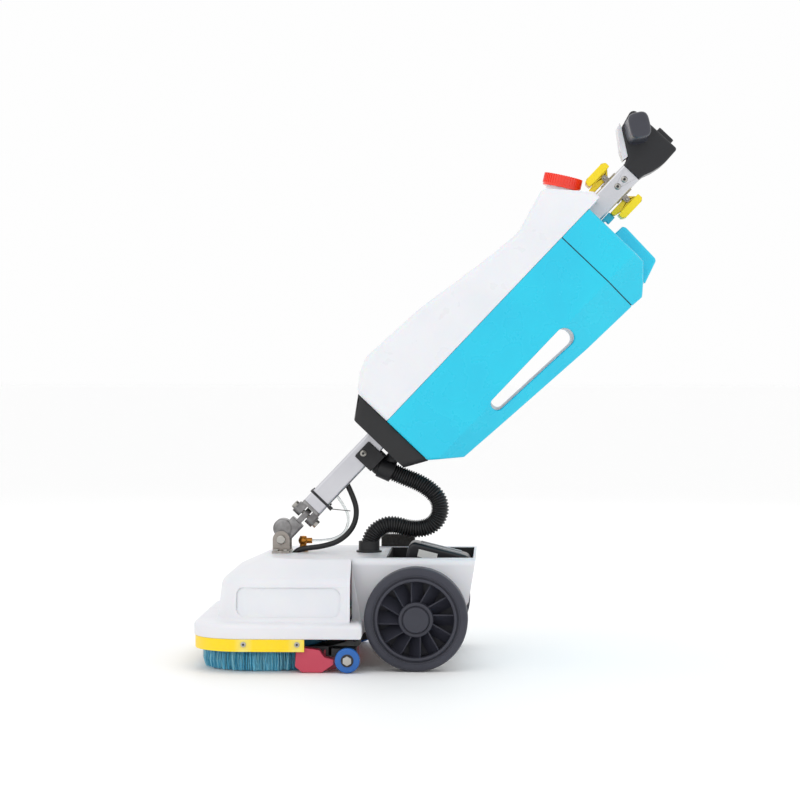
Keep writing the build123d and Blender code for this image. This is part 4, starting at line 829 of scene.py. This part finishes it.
def makeWheel(name, side, tree):
    make = wheelMake
    body = "wheel_" + name
    axle = joints[body + "_spin"]["pos_m"]
    inner = (axle[0], axle[1] - side * make["width"] / 2, axle[2])
    blades = growMesh(pointCarrier("bladeSeed"), tree, bladeInputs(side), "blades")
    blades.transform(Matrix.Translation((axle[0], inner[1] + side * make["bladeDepth"], axle[2])))
    form = bmesh.new()
    form.from_mesh(blades)
    for outline in (rimOutline(), hubOutline(), webOutline()):
        addTurned(form, outline, inner, side)
    rimName = "wheelRim_" + name
    rimPiece = addPiece(rimName, meshFrom(form, rimName, 40), body, "wheelMoulding", ["wheel_rim_" + name])
    bevelled(rimPiece, 0.0005, 2, 50)
    tyre = bmesh.new()
    addTurned(tyre, tyreOutline(), inner, side, 128)
    tyreName = "wheelTyre_" + name
    addPiece(tyreName, meshFrom(tyre, tyreName, 40), body, "tyreRubber", ["wheel_tyre_" + name])


blades = bladeTree()
for name, side in (("left", -1), ("right", 1)):
    makeWheel(name, side, blades)
print("wheels made")

# Screws: a domed button head and, on top, a flat dark hexagon of painted shade that stands for the hexagonal
# recess. Shapes are for a radius of 1.
screwMake = {
    "deckRadius": 0.0046, "mastRadius": 0.0058, "bumperHigh": 0.048, "bumperSide": 0.2382,
    "bumperX": (-0.288, -0.198), "bumperY": (-0.12, 0, 0.12), "neckU": (0.852, 0.869),
    "clampU": 0.210, "clampThick": 0.0061,
    "head": [(0.98, 0), (1, 0.12), (0.93, 0.3), (0.76, 0.46), (0.56, 0.54)],
    "socketShade": [(0.46, 0.5), (0.46, 0.56)],
}


def screwShape(name, rings, segments):
    # rings of (radius, height), closed by a flat face at the last one
    form = bmesh.new()
    loops = []
    for radius, high in rings:
        turns = [2 * math.pi * i / segments for i in range(segments)]
        loops.append([form.verts.new((radius * math.cos(t), radius * math.sin(t), high)) for t in turns])
    for lower, upper in zip(loops, loops[1:]):
        joinLoops(form, lower, upper)
    form.faces.new(loops[-1])
    return linked(name, meshFrom(form, name, 30))


def screwTree(shape):
    tree, given = newTree("screwsOnPlaces", {"Head": shape, "Size": 1.0, "Finish": finish["screwSteel"]})
    head = addNode(tree, "GeometryNodeObjectInfo", {"Object": given["Head"]})
    facing = addNode(tree, "GeometryNodeInputNamedAttribute", {"Name": "facing"}, data_type="FLOAT_VECTOR")
    turned = addNode(tree, "FunctionNodeAlignRotationToVector", {"Vector": facing.outputs[0]}, axis="Z")
    placed = addNode(tree, "GeometryNodeInstanceOnPoints", {
        "Points": given["Geometry"], "Instance": head.outputs["Geometry"], "Rotation": turned.outputs[0],
        "Scale": vector(tree, given["Size"], given["Size"], given["Size"])})
    return closeTree(tree, placed.outputs[0], given["Finish"])


def screwCarrier(name, places):
    carrier = pointCarrier(name, [tuple(place) for place, facing in places])
    facings = carrier.data.attributes.new("facing", "FLOAT_VECTOR", "POINT")
    for item, (place, facing) in zip(facings.data, places):
        item.vector = facing
    return carrier


def bumperPlaces():
    places = []
    for side in (-1, 1):
        for x in screwMake["bumperX"]:
            places.append(((x + axleX, side * screwMake["bumperSide"], screwMake["bumperHigh"]), (0, side, 0)))
    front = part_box("bumper_strip")[0][0]
    for y in screwMake["bumperY"]:
        places.append(((front, y, screwMake["bumperHigh"]), (-1, 0, 0)))
    return places


def mastPlaces():
    places = []
    for side in (-1, 1):
        for u in screwMake["neckU"]:
            places.append((onMast(u, side * mastHalf, 0), (0, side, 0)))
        out = side * (mastHalf + screwMake["clampThick"])
        places.append((onMast(screwMake["clampU"], out, 0), (0, side, 0)))
    return places


def setScrews(name, body, places, radius):
    for kind, shape, finishName in screwKinds:
        whole = name + "_" + kind
        sizes = {"Head": shape, "Size": radius, "Finish": finish[finishName]}
        mesh = growMesh(screwCarrier(name, places), screws, sizes, whole)
        addPiece(whole, mesh, body, None)


mastLow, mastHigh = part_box("mast_tube")
mastHalf = (mastHigh[1] - mastLow[1]) / 2
buttonHead = screwShape("buttonHead", screwMake["head"], 20)
# the socket piece is a flat black hexagon laid over the head: painted shade for the hollow of the hex recess
hexSocket = screwShape("hexSocket", screwMake["socketShade"], 6)
screwKinds = (("heads", buttonHead, "screwSteel"), ("sockets", hexSocket, "blackMoulding"))
screws = screwTree(buttonHead)
setScrews("bumperScrews", "deck", bumperPlaces(), screwMake["deckRadius"])
setScrews("mastScrewHeads", "mast", mastPlaces(), screwMake["mastRadius"])
for shape in (buttonHead, hexSocket):
    bpy.data.objects.remove(shape)
print("screw heads made")

# Cap: fine ribs round the skirt. The neck's foot is (u, v) on the mast and leans forward by a few degrees.
capMake = {"foot": (0.7815, 0.0685), "lean": 31, "start": 0.0075}
ribMake = {"Ribs": 44, "Radius": 0.0328, "Wide": 0.0018, "Deep": 0.0024, "Height": 0.0165}


def ribTree():
    tree, given = newTree("ribsRound", {**ribMake, "Finish": finish["capSkin"]})
    rib = addNode(tree, "GeometryNodeMeshCube", {
        "Size": vector(tree, given["Deep"], given["Wide"], given["Height"])})
    moved = addNode(tree, "GeometryNodeTransform", {
        "Geometry": rib.outputs[0], "Translation": vector(tree, given["Radius"])})
    turn = rotation(tree, 0.0, 0.0, ringStep(tree, given["Ribs"]))
    return closeTree(tree, copiesRound(tree, moved.outputs[0], given["Ribs"], turn), given["Finish"])


def makeCapRibs():
    sizes = {**ribMake, "Finish": finish["capSkin"]}
    ribs = growMesh(pointCarrier("capSeed"), ribTree(), sizes, "capRibs")
    turn = math.radians(capMake["lean"])
    axis = mastUp * math.cos(turn) + mastFront * math.sin(turn)
    u, v = capMake["foot"]
    foot = onMast(u, 0, v) + axis * (capMake["start"] + ribMake["Height"] / 2)
    ribs.transform(Matrix.Translation(foot) @ axis.to_track_quat("Z", "Y").to_matrix().to_4x4())
    addPiece("capRibs", ribs, "solution_cap", None)


makeCapRibs()
print("cap ribs made")

# Battery: two pale strips on top, pale rear corners and a blank label on each side.
# Each block is its sizes, then its middle along, across and up from the pack's lower front edge.
batteryMake = {
    "tilt": 14, "front": (-0.016, 0.207), "height": 0.056, "length": 0.112, "halfWide": 0.038,
    "strip": (0.074, 0.013, 0.0022), "stripAcross": 0.021, "stripAlong": 0.056,
    "corner": (0.012, 0.009, 0.02), "label": (0.034, 0.0004, 0.013), "labelPlace": (0.036, 0.04),
}


def batteryPlace():
    turn = math.radians(batteryMake["tilt"])
    along = Vector((math.cos(turn), 0, -math.sin(turn)))
    up = Vector((math.sin(turn), 0, math.cos(turn)))
    x, z = batteryMake["front"]
    start = Vector((x + axleX, 0, z)) - up * batteryMake["height"]
    return Matrix(((along.x, 0, up.x, start.x), (0, 1, 0, 0), (along.z, 0, up.z, start.z), (0, 0, 0, 1)))


def makeBatteryTrim():
    make = batteryMake
    place = batteryPlace()
    top, wide = make["height"], make["halfWide"]
    strips = bmesh.new()
    for side in (-1, 1):
        middle = (make["stripAlong"], side * make["stripAcross"], top + 0.0003)
        addBlock(strips, place, make["strip"], middle)
    for side in (-1, 1):
        middle = (make["length"] - 0.008, side * (wide - 0.004), top - 0.016)
        addBlock(strips, place, make["corner"], middle)
    trim = addPiece("batteryStrips", meshFrom(strips, "batteryStrips"), "battery", "batteryPale")
    bevelled(trim, 0.0008)
    sheet = bmesh.new()
    along, up = make["labelPlace"]
    for side in (-1, 1):
        addBlock(sheet, place, make["label"], (along, side * (wide + 0.0001), up))
    addPiece("batteryLabel", meshFrom(sheet, "batteryLabel"), "battery", "labelPaper")


makeBatteryTrim()
print("battery trim made")

# Cable tie round the mast's foot end, with the short tail that sticks out behind it.
tieMake = {
    "u": 0.100, "thick": 0.0012, "wide": 0.0046, "mastDepth": 0.0205, "inset": 0.004,
    "lock": (0.0065, 0.0055, 0.0075), "lockOut": 0.0034,
    "tail": (0.0013, 0.0042, 0.034), "tailOut": 0.006, "tailTurn": -38,
}


def makeTie():
    make = tieMake
    form = bmesh.new()
    half = mastHalf + make["thick"] / 2
    u, wide, thick, depth = make["u"], make["wide"], make["thick"], make["mastDepth"]
    across = make["inset"] - mastHalf
    for side in (-1, 1):
        addBlock(form, mastFrame, (wide, thick, 2 * depth + 2 * thick), (u, side * half, 0))
        addBlock(form, mastFrame, (wide, 2 * half, thick), (u, 0, side * (depth + thick / 2)))
    addBlock(form, mastFrame, make["lock"], (u, across, -depth - make["lockOut"]))
    turned = Matrix.Rotation(math.radians(make["tailTurn"]), 4, "Y")
    spot = Matrix.Translation((u, across, -depth - make["tailOut"]))
    addBlock(form, mastFrame @ spot @ turned, make["tail"], (0, 0, -make["tail"][2] / 2))
    tie = addPiece("cableTie", meshFrom(form, "cableTie"), "mast", "blackMoulding")
    bevelled(tie, 0.0004, 2)


makeTie()
print("cable tie made")

# Side grips: an oblong bar with rounded corners, a collar by the head and a softened end.
gripMake = {
    "u": 0.944, "v": 0.044, "half": (0.0222, 0.0180), "power": 3.4, "inner": 0.0365, "end": 0.150,
    "tilt": 56.6, "around": 56, "endRound": 0.009, "endDraw": 0.22, "collar": 1.08,
}


def gripLoop(form, y, share):
    # a rounded oblong: the higher the power, the squarer its corners
    turn = math.radians(gripMake["tilt"])
    power = 2 / gripMake["power"]
    loop = []
    for i in range(gripMake["around"]):
        angle = 2 * math.pi * i / gripMake["around"]
        cosine, sine = math.cos(angle), math.sin(angle)
        p = gripMake["half"][0] * share * math.copysign(abs(cosine) ** power, cosine)
        q = gripMake["half"][1] * share * math.copysign(abs(sine) ** power, sine)
        u = gripMake["u"] + p * math.cos(turn) - q * math.sin(turn)
        v = gripMake["v"] + p * math.sin(turn) + q * math.cos(turn)
        loop.append(form.verts.new(onMast(u, y, v)))
    return loop


def gripRows():
    # (distance from the middle, share of the full section)
    inner, end, edge = gripMake["inner"], gripMake["end"], gripMake["endRound"]
    collar, draw = gripMake["collar"], gripMake["endDraw"]
    rows = [(inner, 1.0), (inner + 0.0005, collar), (inner + 0.004, collar), (inner + 0.0065, 1.0)]
    rows += [(0.06, 0.97), (0.1, 0.96), (end - edge, 1.0)]
    rows += [(end - edge + edge * math.sin(t), 1 - draw + draw * math.cos(t))
             for t in (0.3, 0.6, 0.9, 1.2, 1.5)]
    return rows + [(end - 0.0001, 0.5), (end, 0.2)]


def makeGrips():
    form = bmesh.new()
    for side in (-1, 1):
        loops = [gripLoop(form, side * y, share) for y, share in gripRows()]
        for lower, upper in zip(loops, loops[1:]):
            joinLoops(form, lower, upper)
        form.faces.new(loops[0])
        form.faces.new(loops[-1])
    addPiece("sideGrips", meshFrom(form, "sideGrips", 40), "mast", "slateSide", ["handle_grips"])


makeGrips()
print("grips made")

# Rollers: a dark ring round each hex bolt.
ringMake = {"inner": 0.0055, "outer": 0.0108, "sunk": 0.0004, "out": 0.0005}


def makeRollerRing(name, side):
    low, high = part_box("roller_" + name)
    middle = ((low[0] + high[0]) / 2, high[1] if side > 0 else low[1], (low[2] + high[2]) / 2)
    inner, outer, sunk, out = ringMake["inner"], ringMake["outer"], ringMake["sunk"], ringMake["out"]
    form = bmesh.new()
    addTurned(form, [(inner, -sunk), (outer, -sunk), (outer, out), (inner, out)], middle, side, 48)
    addPiece("rollerRing_" + name, meshFrom(form, "rollerRing_" + name), "roller_" + name, "blackMoulding")


for name, side in (("left", -1), ("right", 1)):
    makeRollerRing(name, side)
print("roller rings made")

floorMake = {"size": 70, "low": 0.0005, "pale": 0.985}


def layFloor():
    bpy.ops.mesh.primitive_plane_add(size=floorMake["size"], location=(0, 0, -floorMake["low"]))
    floor = bpy.context.object
    floor.name = "paleFloor"
    material = bpy.data.materials.new("paleFloor")
    material.use_nodes = True
    tree = material.node_tree
    shader = tree.nodes["Principled BSDF"]
    shader.inputs["Base Color"].default_value = (floorMake["pale"],) * 3 + (1,)
    place = tree.nodes.new("ShaderNodeTexCoord").outputs["Object"]
    haze = addNoise(tree, place, 3, 2)
    tree.links.new(addRange(tree, haze.outputs["Fac"], 0.55, 0.7), shader.inputs["Roughness"])
    floor.data.materials.append(material)


layFloor()
